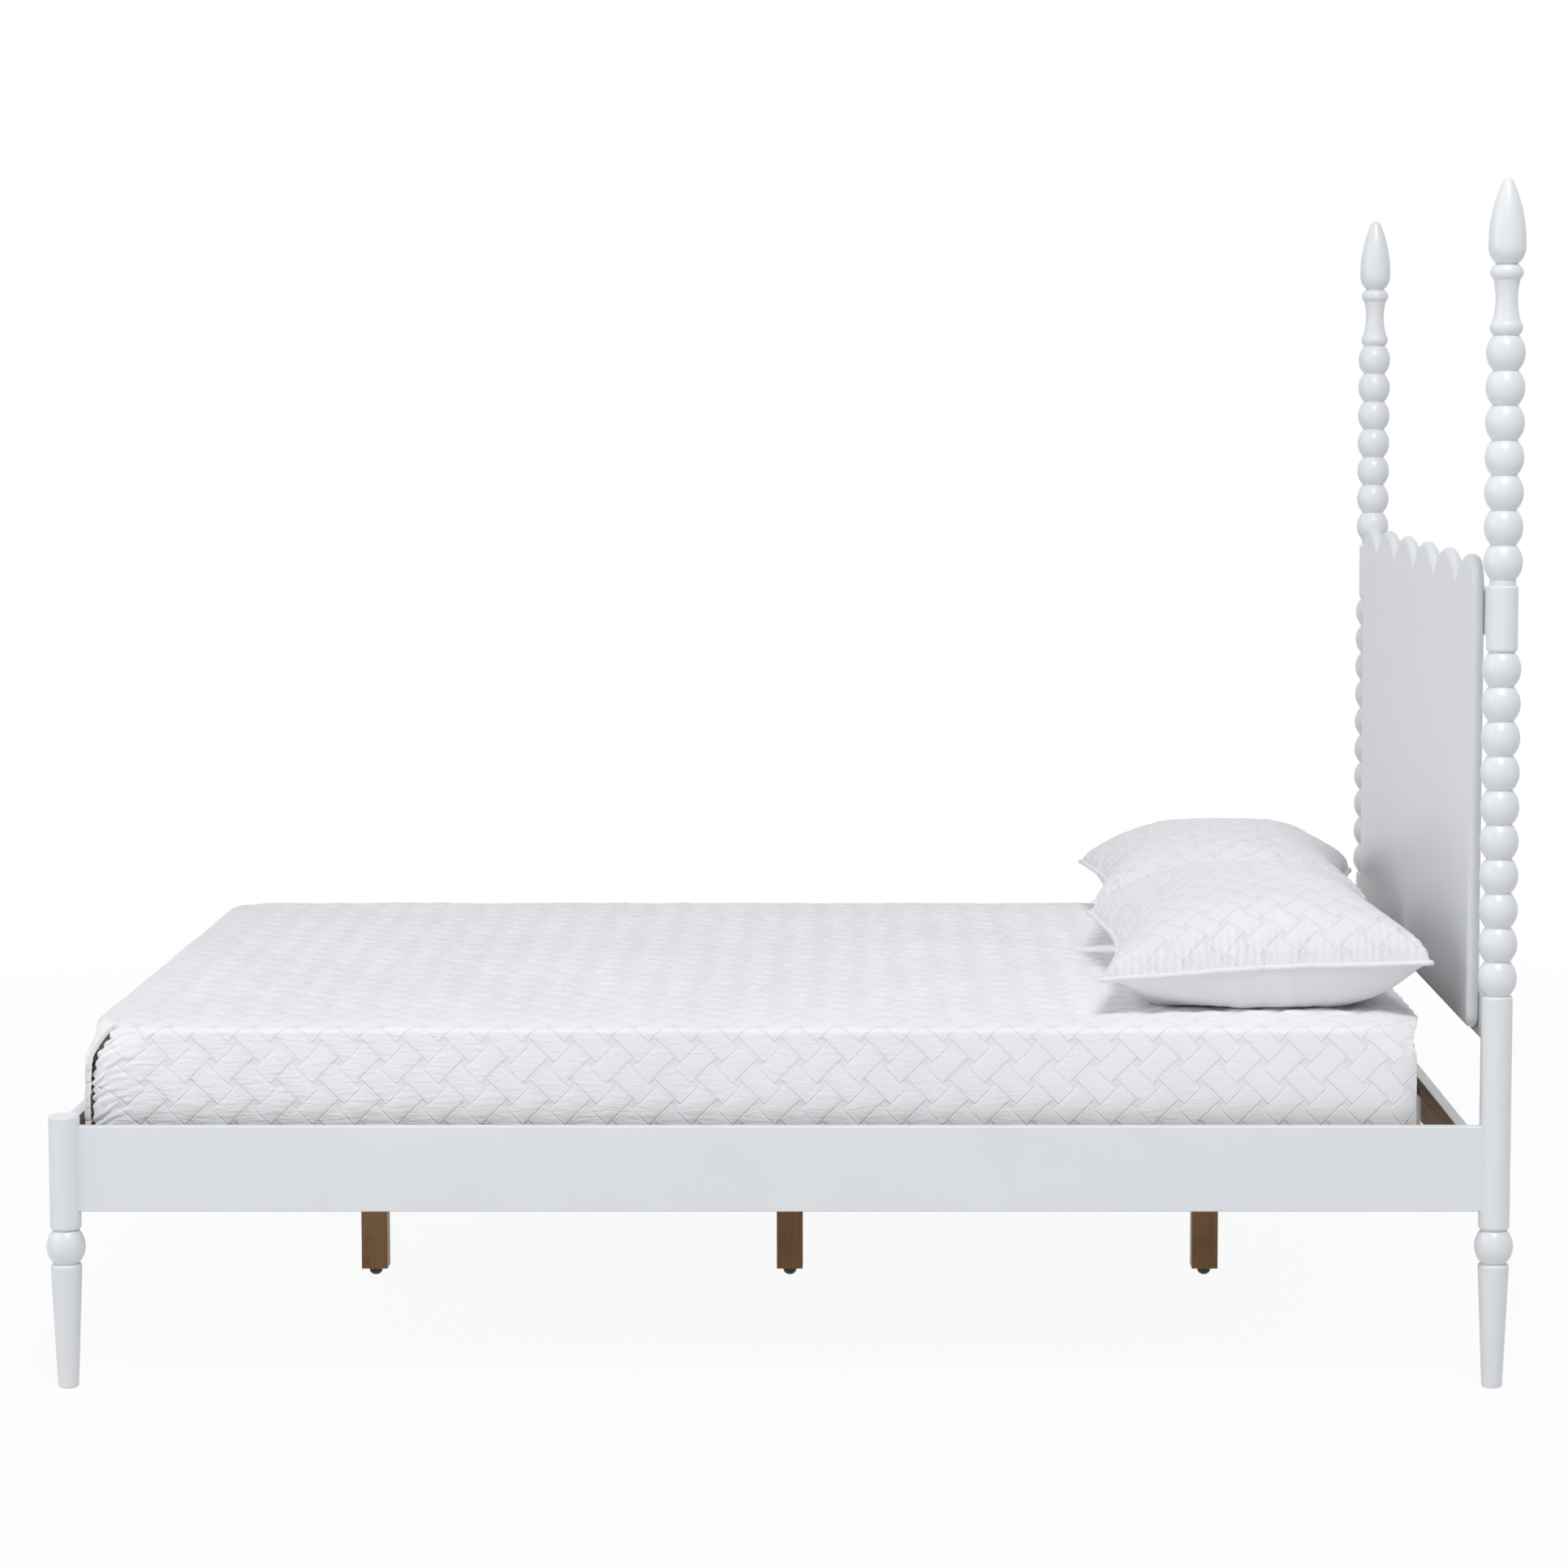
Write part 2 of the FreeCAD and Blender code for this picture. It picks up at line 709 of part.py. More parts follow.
def leg_glide(x):
    """Domed glide on a threaded stem, screwed fully in."""
    radius = glide_diameter / 2
    stem_radius = glide_stem_diameter / 2
    cap_height = glide_height - glide_rest_gap
    outline = Turning(0)
    outline.line(stem_radius, 0)
    outline.arc((radius + stem_radius) / 2, cap_height * glide_dome_share, radius, cap_height / 2)
    outline.line(radius, cap_height / 2)
    outline.line(stem_radius, 0)
    outline.line(stem_radius, glide_stem_length)
    return outline.solid(V(x, 0, 0))


def rounded_section(centre, half_x, half_y, corner, bow=0.0):
    """Closed outline of four sides that bow in or out and four round corners."""
    def at(x, y):
        return centre + V(x, y, 0)

    inset = corner * (1 - sqrt(2) / 2)
    along_x = half_x - corner
    along_y = half_y - corner
    sides = (
        (at(-along_x, -half_y), at(0, -half_y - bow), at(along_x, -half_y)),
        (at(half_x, -along_y), at(half_x + bow, 0), at(half_x, along_y)),
        (at(along_x, half_y), at(0, half_y + bow), at(-along_x, half_y)),
        (at(-half_x, along_y), at(-half_x - bow, 0), at(-half_x, -along_y)),
    )
    corners = (
        at(half_x - inset, -half_y + inset),
        at(half_x - inset, half_y - inset),
        at(-half_x + inset, half_y - inset),
        at(-half_x + inset, -half_y + inset),
    )
    edges = []
    for i, (start, middle, end) in enumerate(sides):
        edges.append(Part.Arc(start, middle, end).toShape() if bow else Part.makeLine(start, end))
        edges.append(Part.Arc(end, corners[i], sides[(i + 1) % 4][0]).toShape())
    return Part.Wire(edges)


def mattress_form(offset):
    """Mattress with rounded edges and a low crown, grown outwards and upwards by an offset."""
    centre_x = mattress_foot + mattress_length / 2
    levels = []
    for height_share, inset_share in mattress_section_shares:
        levels.append((mattress_height * height_share, mattress_edge_width * inset_share, height_share))
    levels.append((mattress_height + mattress_crown, mattress_width * mattress_crown_inset_share, 1))
    wires = []
    for height, inset, grown_share in levels:
        centre = V(centre_x, 0, mattress_bottom + height + offset * grown_share)
        half_x = mattress_length / 2 - inset + offset
        half_y = mattress_width / 2 - inset + offset
        wires.append(rounded_section(centre, half_x, half_y, mattress_corner_radius + offset))
    return Part.makeLoft(wires, True, True)


def coverlet():
    """Quilted cover over the top, sides and foot of the mattress, split at its foot corners."""
    head = mattress_foot + mattress_length
    reach_y = mattress_width / 2 + coverlet_offset + overrun
    hem = mattress_bottom + coverlet_hem_height
    top = mattress_bottom + mattress_height + mattress_crown + coverlet_offset + overrun
    cover = mattress_form(coverlet_offset).cut(mattress_form(coverlet_gap))
    foot = mattress_foot - coverlet_offset - overrun
    below_hem = box(V(foot, -reach_y, mattress_bottom - overrun), V(head + reach_y, reach_y, hem))
    past_head = box(V(head, -reach_y, hem - overrun), V(head + reach_y, reach_y, top))
    cover = cover.cut(below_hem).cut(past_head)
    split_top = mattress_bottom + mattress_height - coverlet_split_depth
    split_half = coverlet_split_width / 2
    corner_y = mattress_width / 2 - mattress_corner_radius
    reach = 2 * mattress_corner_radius
    for _, side in SIDES:
        corner = V(mattress_foot + mattress_corner_radius, side * corner_y, 0)
        slot = box(V(0, -split_half, hem - overrun), V(reach, split_half, split_top))
        slot.rotate(V(0, 0, 0), UP, side * 135)
        slot.translate(corner)
        cover = cover.cut(slot)
    return cover


def pillow(side, head_gap):
    """Pillow with a crown above its seam, a round underside, drawn-in sides and pointed corners."""
    centre_x = panel_back - panel_thickness - head_gap - pillow_depth / 2
    centre_y = side * (pillow_length + pillow_gap) / 2
    seam = pillow_height * pillow_seam_share
    full_fall = 1 - pillow_under_shares[0] ** pillow_crown_power

    def section(share, height):
        half_x = pillow_depth / 2 * share
        half_y = pillow_length / 2 * share
        corner = half_x * (pillow_corner_share + (1 - share) * pillow_corner_growth_share)
        bow = -pillow_draw_in * share ** pillow_draw_power
        return rounded_section(V(centre_x, centre_y, pillow_bottom + height), half_x, half_y, corner, bow)

    wires = []
    for share in pillow_under_shares:
        wires.append(section(share, seam * (1 - (1 - share ** pillow_crown_power) / full_fall)))
    wires.append(section(1, seam))
    for share in pillow_crown_shares:
        wires.append(section(share, seam + (pillow_height - seam) * (1 - share ** pillow_crown_power)))
    return Part.makeLoft(wires, True, True)


def save_posts_and_rails(joints):
    """Posts, rails and what joins them."""
    for side_name, side in SIDES:
        for end_name, end in ENDS:
            name = f"{end_name}_post_{side_name}"
            make = head_post if end_name == "head" else foot_post
            save(name, make(name, end, side, joints))
        save(f"upper_post_{side_name}", upper_post(1, side))
    for name in sorted({joint.rail for joint in joints}):
        solid = rail(name, joints)
        for hole in rail_screw_holes(name):
            solid = solid.cut(hole)
        save(name, solid)
    bolted = [joint for joint in joints if is_bolted(joint)]
    save("upper_post_screws", Part.makeCompound([upper_post_screw(1, side) for _, side in SIDES]))
    save("rail_dowels", Part.makeCompound([pin for joint in joints for pin in dowels(joint)]))
    save("bed_bolts", Part.makeCompound([bed_bolt(joint) for joint in bolted]))
    save("barrel_nuts", Part.makeCompound([barrel_nut(joint) for joint in bolted]))


def rail_screw_holes(name):
    """Holes in a rail for the screws of what is fixed to it."""
    if name.startswith("headboard"):
        return panel_screws(fit)
    if name.startswith("side_rail"):
        return cleat_screws(dict(SIDES)[name.split("_")[-1]], fit)
    return bracket_screws(dict(ENDS)[name.split("_")[0]], fit)


def save_headboard():
    """Panel and its screws."""
    save("headboard_panel", headboard_panel())
    save("panel_screws", Part.makeCompound(panel_screws()))


def save_slat_bed():
    """Slats, cleats, beam, hangers and their screws."""
    for side_name, side in SIDES:
        save(f"slat_cleat_{side_name}", slat_cleat(side))
    for number, x in enumerate(slat_places(), start=1):
        save(f"slat_{number:02d}", slat(x))
    save("centre_beam", centre_beam())
    for end_name, end in ENDS:
        save(f"beam_bracket_{end_name}", beam_bracket(end))
    save("cleat_screws", Part.makeCompound([pin for _, side in SIDES for pin in cleat_screws(side)]))
    save("slat_screws", Part.makeCompound([slat_screw(x, row) for x in slat_places() for row in (-1, 0, 1)]))
    save("bracket_screws", Part.makeCompound([pin for _, end in ENDS for pin in bracket_screws(end)]))


def save_centre_legs():
    """Centre legs, their bolts, nuts and glides."""
    for name, x in leg_places():
        save(f"centre_leg_{name}", centre_leg(x))
        save(f"leg_glide_{name}", leg_glide(x))
    save("leg_bolts", Part.makeCompound([leg_bolt(x) for _, x in leg_places()]))
    save("leg_tee_nuts", Part.makeCompound([leg_tee_nut(x) for _, x in leg_places()]))


def save_bedding():
    """Mattress, coverlet and pillows."""
    save("mattress", mattress_form(0))
    save("coverlet", coverlet())
    save("pillow_near", pillow(-1, near_pillow_head_gap))
    save("pillow_far", pillow(1, far_pillow_head_gap))


os.makedirs("parts", exist_ok=True)
save_posts_and_rails(rail_ends())
save_headboard()
save_slat_bed()
save_centre_legs()
save_bedding()
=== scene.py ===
# %% [markdown]
# # A white spindle bed with quilted bedding
# The timber frame of this bed comes ready made and measured from the imported model. What is left is what a painter and
# an upholsterer would do: paint, stain, bare wood, zinc, ticking and quilted cotton, and the soft shapes of the
# bedding. This first cell loads the frame.

# %% Load the bed
import math

import bmesh
import bpy
import numpy as np
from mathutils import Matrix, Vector


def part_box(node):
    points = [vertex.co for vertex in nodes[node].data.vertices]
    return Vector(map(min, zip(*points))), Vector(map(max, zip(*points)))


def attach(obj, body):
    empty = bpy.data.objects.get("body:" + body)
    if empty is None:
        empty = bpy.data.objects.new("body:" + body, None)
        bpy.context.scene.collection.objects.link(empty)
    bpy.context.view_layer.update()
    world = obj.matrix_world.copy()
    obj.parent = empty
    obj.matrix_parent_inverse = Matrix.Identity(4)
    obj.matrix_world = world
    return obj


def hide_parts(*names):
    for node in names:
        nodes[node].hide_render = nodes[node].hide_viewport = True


MM = 0.001
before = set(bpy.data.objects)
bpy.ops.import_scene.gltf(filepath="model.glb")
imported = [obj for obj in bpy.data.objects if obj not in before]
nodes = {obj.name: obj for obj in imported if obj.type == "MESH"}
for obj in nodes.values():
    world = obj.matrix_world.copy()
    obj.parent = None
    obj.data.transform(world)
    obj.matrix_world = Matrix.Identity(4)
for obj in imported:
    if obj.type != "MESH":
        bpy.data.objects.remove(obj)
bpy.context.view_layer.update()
scene = bpy.context.scene
scene.view_settings.view_transform = "Standard"

# %% [markdown]
# ## The camera
# The photograph looks straight across the bed from its near side, a little above the mattress, through a long lens, so
# the posts stay upright and the far side is only a little smaller. The place, tilt and lens below were fitted to the
# post axes, feet and rails. The picture's middle lies left of the lens axis, and a small shift takes care of that.

# %% Camera
CAMERA_PLACE, TILT_DOWN = (0.1269, -6.8031, 1.4396), 5.348
camera_data = bpy.data.cameras.new("portrait_camera")
camera_data.sensor_width = 36.0
camera_data.lens = 97.2
camera_data.shift_x = -0.0534
camera_data.clip_end = 60.0
camera = bpy.data.objects.new("portrait_camera", camera_data)
camera.location = CAMERA_PLACE
camera.rotation_euler = (math.radians(90 - TILT_DOWN), 0, 0)
scene.collection.objects.link(camera)
scene.camera = camera
print("camera is", round(-camera.location.y, 2), "m from the middle of the bed")

# %% [markdown]
# ## Colours and nodes
# Paint charts and pickers give colours as sRGB hex values, but shaders add light up linearly, so one function turns the
# hex values round. A second small function adds any node with its settings and inputs, which keeps each material
# down to a readable list of what feeds what. A node that is linked as a whole stands for its first output.


# %% Helpers for materials
def linear(hex_colour):
    """sRGB hex to a linear colour with alpha."""
    parts = [int(hex_colour[i:i + 2], 16) / 255 for i in (1, 3, 5)]
    return [p / 12.92 if p <= 0.04045 else ((p + 0.055) / 1.055) ** 2.4 for p in parts] + [1.0]


def plug(tree, node, inputs):
    """Sets a node's inputs: an output or a whole node is linked, and anything else is a value."""
    for socket, given in inputs.items():
        given = given.outputs[0] if isinstance(given, bpy.types.Node) else given
        if isinstance(given, bpy.types.NodeSocket):
            tree.links.new(given, node.inputs[socket])
        else:
            node.inputs[socket].default_value = given


def add(tree, kind, inputs={}, **settings):
    """Adds one shader node with its inputs and settings."""
    node = tree.nodes.new("ShaderNode" + kind)
    for name, value in settings.items():
        setattr(node, name, value)
    plug(tree, node, inputs)
    return node


def two_tones(ramp, dark, light, start=0.0, end=1.0):
    """Sets a ramp's two colours and where they begin and end to blend, and returns it."""
    for stop, colour, position in zip(ramp.color_ramp.elements, (dark, light), (start, end)):
        stop.color, stop.position = linear(colour), position
    return ramp


def new_material(name):
    """An empty material, its node tree, its shader and the coordinates of the piece in metres."""
    material = bpy.data.materials.new(name)
    material.use_nodes = True
    tree = material.node_tree
    return material, tree, tree.nodes["Principled BSDF"], add(tree, "TexCoord").outputs["Object"]


print("white paint in linear light:", [round(c, 3) for c in linear("#E6E8EA")[:3]])

# %% [markdown]
# ## Floor, backdrop and light
# The bed stands in a white studio. A wide floor of pale grey keeps a soft shadow under the rails and legs. For the
# camera alone, and for mirror-like reflections, part of the floor is plain white, so that it melts into the white room
# without more light falling on the bed. The room itself gives light, a little more from the foot end than from the
# head. A wide lamp overhead lifts the tops, one from the foot lights the panel, and a weak one from the side of the
# camera keeps the near rail from going grey.

# %% Floor and room
ROOM_LIGHT, FOOT_SHARE, HEAD_SHARE = 0.5, 1.1, 0.7
FLOOR_WHITE_SHARE, FLOOR_REACH = 0.94, 40.0
FLOOR_FADE_START, FLOOR_FADE_END = 2.2, 5.0
WHITE = (1, 1, 1, 1)

room = bpy.data.worlds.new("white_room")
room.use_nodes = True
scene.world = room
tree = room.node_tree
tree.nodes.clear()
ray = add(tree, "LightPath").outputs
seen = add(tree, "Math", {0: ray["Is Camera Ray"], 1: ray["Is Transmission Ray"]}, operation="MAXIMUM")
seen = add(tree, "Math", {0: seen, 1: ray["Is Glossy Ray"]}, operation="MAXIMUM")
way = add(tree, "TexCoord").outputs["Generated"]
to_head = add(tree, "VectorMath", {0: way, 1: (1, 0, 0)}, operation="DOT_PRODUCT").outputs["Value"]
level = add(tree, "MapRange", {"From Min": -1.0, "From Max": 1.0, "To Min": ROOM_LIGHT * FOOT_SHARE,
                               "To Max": ROOM_LIGHT * HEAD_SHARE, "Value": to_head})
lit = add(tree, "Background", {"Color": linear("#FBFBFE"), "Strength": level})
white = add(tree, "Background", {"Color": WHITE, "Strength": 1.0})
either = add(tree, "MixShader", {0: seen, 1: lit, 2: white})
add(tree, "OutputWorld", {"Surface": either})


def new_piece(name, points, faces):
    """An object of points in metres and faces."""
    mesh = bpy.data.meshes.new(name)
    mesh.from_pydata(points, [], faces)
    piece = bpy.data.objects.new(name, mesh)
    scene.collection.objects.link(piece)
    return piece


floor_corners = [(x * FLOOR_REACH, y * FLOOR_REACH, 0) for x, y in ((-1, -1), (1, -1), (1, 1), (-1, 1))]
floor = new_piece("studio_floor", floor_corners, [(0, 1, 2, 3)])
floor_paint = bpy.data.materials.new("studio_floor_paint")
floor_paint.use_nodes = True
tree = floor_paint.node_tree
tree.nodes.clear()
ray = add(tree, "LightPath").outputs
seen = add(tree, "Math", {0: ray["Is Camera Ray"], 1: ray["Is Glossy Ray"]}, operation="MAXIMUM")
spot = add(tree, "TexCoord").outputs["Object"]
away = add(tree, "VectorMath", {0: spot}, operation="LENGTH").outputs["Value"]
fade = add(tree, "MapRange", {"From Min": FLOOR_FADE_START, "From Max": FLOOR_FADE_END, "To Min": FLOOR_WHITE_SHARE,
                              "To Max": 1.0, "Value": away}, interpolation_type="SMOOTHSTEP")
share = add(tree, "Math", {0: seen, 1: fade}, operation="MULTIPLY")
matt = add(tree, "BsdfDiffuse", {"Color": linear("#EDEDEE")})
glow = add(tree, "Emission", {"Color": WHITE, "Strength": 1.0})
either = add(tree, "MixShader", {0: share, 1: matt, 2: glow})
add(tree, "OutputMaterial", {"Surface": either})
floor.data.materials.append(floor_paint)


def soft_lamp(name, place, aim, size, watts):
    """A square lamp of even white light, turned towards a point."""
    data = bpy.data.lights.new(name, "AREA")
    data.shape = "SQUARE"
    data.size = size
    data.energy = watts
    lamp = bpy.data.objects.new(name, data)
    lamp.location = place
    lamp.rotation_euler = (Vector(aim) - lamp.location).to_track_quat("-Z", "Y").to_euler()
    scene.collection.objects.link(lamp)


soft_lamp("overhead_lamp", place=(1.0, -4.6, 6.9), aim=(0.1, -0.4, 0.4), size=2.4, watts=275)
soft_lamp("camera_side_lamp", place=(-0.4, -6.2, 1.8), aim=(0.2, -0.6, 0.6), size=3.0, watts=10)
soft_lamp("foot_side_lamp", place=(-4.8, -2.2, 3.0), aim=(0.7, -0.2, 0.8), size=3.0, watts=58)

# %% [markdown]
# ## Painted wood
# Posts, rails and panel are turned and planed hardwood under sprayed white polyurethane enamel, rubbed to a satin
# sheen. Sprayed paint has a faint orange peel of about 2 mm, and it is never equally bright all over. The timber's
# grain just shows through it as long shallow lines. The inner faces of the rails are left bare and brown, and only the
# direction of a face tells them apart, so the paint material mixes in the bare wood where a face looks inwards. Legs,
# slats and beam are plain planed wood, whose grain makes the colour. All sizes of patterns are in millimetres.

# %% Painted and bare wood
X_AXIS, Y_AXIS, Z_AXIS = 0, 1, 2
PAINT_CLOUD, PAINT_PEEL, PAINT_GRAIN, PAINT_RUN = 160.0, 2.5, 5.0, 250.0
TURNED_GLOSS, FLAT_GLOSS, BARE_ROUGHNESS = (0.27, 0.35), (0.36, 0.44), 0.7
TURNED_GRAIN, FLAT_GRAIN, PANEL_GRAIN = 0.3, 0.4, 0.04
FACING_INWARDS = 0.9
WOOD_CLOUD, WOOD_STRETCH, PORE_DEPTH = 90.0, 40.0, 0.5
GRAIN_SHARE, GLOSS_SPREAD = 0.75, 0.07


def grain(tree, place, width, run, along):
    """Long noise like wood grain, by its width and its run along an axis."""
    size = [width] * 3
    size[along] = run
    stretched = add(tree, "Mapping", {"Scale": [1 / (s * MM) for s in size], "Vector": place})
    return add(tree, "TexNoise", {"Scale": 1.0, "Detail": 5.0, "Roughness": 0.6, "Distortion": 0.25,
                                  "Vector": stretched})


def painted_wood(name, along, gloss_range, grain_depth, bare_side=None):
    """Satin white enamel, with the grain along an axis. bare_side is the direction of a face that is left bare."""
    material, tree, shader, place = new_material(name)
    cloud = add(tree, "TexNoise", {"Scale": 1 / (PAINT_CLOUD * MM), "Detail": 3.0, "Vector": place})
    base = two_tones(add(tree, "ValToRGB", {"Fac": cloud}), "#E0E3E6", "#E4E7E9", 0.3, 0.7)
    rough = add(tree, "MapRange", {"From Min": 0.3, "From Max": 0.7, "To Min": gloss_range[0],
                                   "To Max": gloss_range[1], "Value": cloud})
    lines = grain(tree, place, PAINT_GRAIN, PAINT_RUN, along)
    peel = add(tree, "TexNoise", {"Scale": 1 / (PAINT_PEEL * MM), "Detail": 1.0, "Vector": place})
    shallow = add(tree, "Bump", {"Strength": 0.12, "Distance": grain_depth * MM, "Height": lines})
    fine = add(tree, "Bump", {"Strength": 0.10, "Distance": grain_depth * MM / 2, "Height": peel, "Normal": shallow})
    if bare_side is not None:
        normal = place.node.outputs["Normal"]
        turned = add(tree, "VectorMath", {0: normal, 1: bare_side}, operation="DOT_PRODUCT").outputs["Value"]
        inner = add(tree, "Math", {0: turned, 1: FACING_INWARDS}, operation="GREATER_THAN")
        wood = two_tones(add(tree, "ValToRGB", {"Fac": lines}), "#7A6653", "#99846D", 0.35, 0.68)
        base = add(tree, "Mix", {0: inner, 6: base, 7: wood}, data_type="RGBA").outputs[2]
        rough = add(tree, "Mix", {0: inner, 2: rough, 3: BARE_ROUGHNESS}, data_type="FLOAT")
    plug(tree, shader, {"IOR": 1.5, "Base Color": base, "Roughness": rough, "Normal": fine})
    return material


def plain_wood(name, dark, light, along, roughness, width=6.0):
    """Planed wood whose grain shows, from a dark and a light tone of it."""
    material, tree, shader, place = new_material(name)
    lines = grain(tree, place, width, width * WOOD_STRETCH, along)
    cloud = add(tree, "TexNoise", {"Scale": 1 / (WOOD_CLOUD * MM), "Detail": 2.0, "Vector": place})
    both = add(tree, "Math", {0: lines, 1: GRAIN_SHARE, 2: cloud}, operation="MULTIPLY_ADD")
    colour = two_tones(add(tree, "ValToRGB", {"Fac": both}), dark, light, start=0.62)
    pores = add(tree, "Bump", {"Strength": 0.25, "Distance": PORE_DEPTH * MM, "Height": lines})
    gloss = add(tree, "MapRange", {"To Min": roughness - GLOSS_SPREAD, "To Max": roughness + GLOSS_SPREAD,
                                   "Value": lines})
    plug(tree, shader, {"Base Color": colour, "Roughness": gloss, "Normal": pores})
    return material


turned_enamel = painted_wood("white_enamel_on_turned_posts", Z_AXIS, TURNED_GLOSS, TURNED_GRAIN)
panel_enamel = painted_wood("white_enamel_on_panel", Y_AXIS, FLAT_GLOSS, PANEL_GRAIN)
rail_enamel = {
    rail: painted_wood(f"white_enamel_{rail}", along, FLAT_GLOSS, FLAT_GRAIN, inwards)
    for rail, along, inwards in (("side_rail_near", X_AXIS, (0, 1, 0)), ("side_rail_far", X_AXIS, (0, -1, 0)),
                                 ("foot_rail", Y_AXIS, (1, 0, 0)), ("head_rail", Y_AXIS, (-1, 0, 0)))
}
stained_leg = plain_wood("brown_stained_leg", "#8C6844", "#B18A5E", Z_AXIS, roughness=0.45, width=4.0)
slat_pine = plain_wood("planed_pine_slats", "#B08F63", "#D9BD92", Y_AXIS, roughness=0.62)
beam_pine = plain_wood("planed_pine_beam", "#A98A60", "#D2B68B", X_AXIS, roughness=0.62)
print("woods:", stained_leg.name, slat_pine.name, beam_pine.name)

# %% [markdown]
# ## Metal and plastic
# Bolts, screws and beam hangers are steel with bright zinc plating: a metal, a little blue, with a soft blotchy gloss
# where the plating took differently. The glides under the centre legs are black nylon, moulded, with a fine
# spark-eroded grain.

# %% Zinc and nylon
ZINC_BLOTCH = 12.0
NYLON_GRIT, NYLON_DEPTH = 1.2, 0.2


def zinc_plate():
    """Bright zinc plating on steel."""
    material, tree, shader, place = new_material("zinc_plated_steel")
    blotch = add(tree, "TexNoise", {"Scale": 1 / (ZINC_BLOTCH * MM), "Detail": 3.0, "Vector": place})
    colour = two_tones(add(tree, "ValToRGB", {"Fac": blotch}), "#B7BBC0", "#D2D4D6")
    gloss = add(tree, "MapRange", {"To Min": 0.26, "To Max": 0.44, "Value": blotch})
    plug(tree, shader, {"Metallic": 1.0, "Base Color": colour, "Roughness": gloss})
    return material


def black_nylon():
    """Moulded nylon with a fine grain."""
    material, tree, shader, place = new_material("black_nylon_glide")
    grit = add(tree, "TexNoise", {"Scale": 1 / (NYLON_GRIT * MM), "Detail": 1.0, "Vector": place})
    colour = two_tones(add(tree, "ValToRGB", {"Fac": grit}), "#121213", "#1E1E20")
    rough = add(tree, "Bump", {"Strength": 0.3, "Distance": NYLON_DEPTH * MM, "Height": grit})
    plug(tree, shader, {"Roughness": 0.48, "IOR": 1.53, "Base Color": colour, "Normal": rough})
    return material


zinc, nylon = zinc_plate(), black_nylon()
print("fastenings:", zinc.name, nylon.name)

# %% [markdown]
# ## Cloth
# The coverlet and the pillow tops are one cloth: two layers of white cotton with thin wadding between, stitched in a
# basketweave and washed, so the cotton has shrunk into fine crinkles between the stitches. Seen flat, the stitching
# draws a plain weave turned by 45 degrees: bands 32 mm wide, 43 mm apart, pass over and under each other, and the small
# squares between them are filled with close rows of stitching. The soft puffs will be real geometry, while the stitched
# lines are only a millimetre wide and stay sharp only as bump. The material works them out from the flat cloth's
# coordinates, which each quilted mesh carries as a map named cloth, in metres. Where the cloth is taut, by an attribute
# of that name, its crinkles are pulled out. Threads are 0.4 mm apart, too fine for the picture, so they are drawn at
# 1.4 mm, and those of the mattress ticking at 2 mm.

# %% Quilted cotton and ticking
SLANT = math.sqrt(0.5)
WEAVE_STEP, BAND_WIDTH, PUFF_REACH = 43.0, 32.0, 8.0
STITCH_WIDTH, STITCH_ROW, ROW_DEPTH = 1.4, 3.2, 0.6
COTTON_CLOUD, COTTON_THREAD, THREAD_DEPTH = 200.0, 1.4, 0.3
TICKING_STRIPE, TICKING_THREAD, TWILL_DEPTH = 20.0, 2.0, 0.6


def stitching(tree, flat):
    """Distance from the nearest stitched line, as a share of the weave's step, and a value that is 1 in squares."""
    slant, half = SLANT / (WEAVE_STEP * MM), BAND_WIDTH / 2 / WEAVE_STEP
    ways = [add(tree, "VectorMath", {0: flat, 1: (turn * slant, slant, 0)},
                operation="DOT_PRODUCT").outputs["Value"] for turn in (1, -1)]
    away = [add(tree, "Math", {0: way, 1: 0.5}, operation="PINGPONG") for way in ways]
    cell = [add(tree, "Math", {0: way}, operation="ROUND") for way in ways]
    count = add(tree, "Math", {0: cell[0], 1: cell[1]}, operation="ADD")
    odd = add(tree, "Math", {0: count, 1: 1.0}, operation="PINGPONG")
    # Across and along the band that lies on top at this crossing
    across, along = (add(tree, "Mix", {0: odd, 2: one, 3: two}, data_type="FLOAT")
                     for one, two in ((away[1], away[0]), (away[0], away[1])))
    in_band = add(tree, "Math", {0: half, 1: across}, operation="SUBTRACT")
    to_end = add(tree, "Math", {0: 1 - half, 1: along}, operation="SUBTRACT")
    on_top = add(tree, "Math", {0: in_band, 1: to_end}, operation="MINIMUM")
    in_lower = add(tree, "Math", {0: half, 1: along}, operation="SUBTRACT")
    past_band = add(tree, "Math", {0: across, 1: half}, operation="SUBTRACT")
    below = add(tree, "Math", {0: in_lower, 1: past_band}, operation="MINIMUM")
    inside = add(tree, "Math", {0: on_top, 1: below}, operation="MAXIMUM")
    either = add(tree, "Math", {0: in_band, 1: in_lower}, operation="MAXIMUM")
    return inside, add(tree, "Math", {0: either, 1: 0.0}, operation="LESS_THAN")


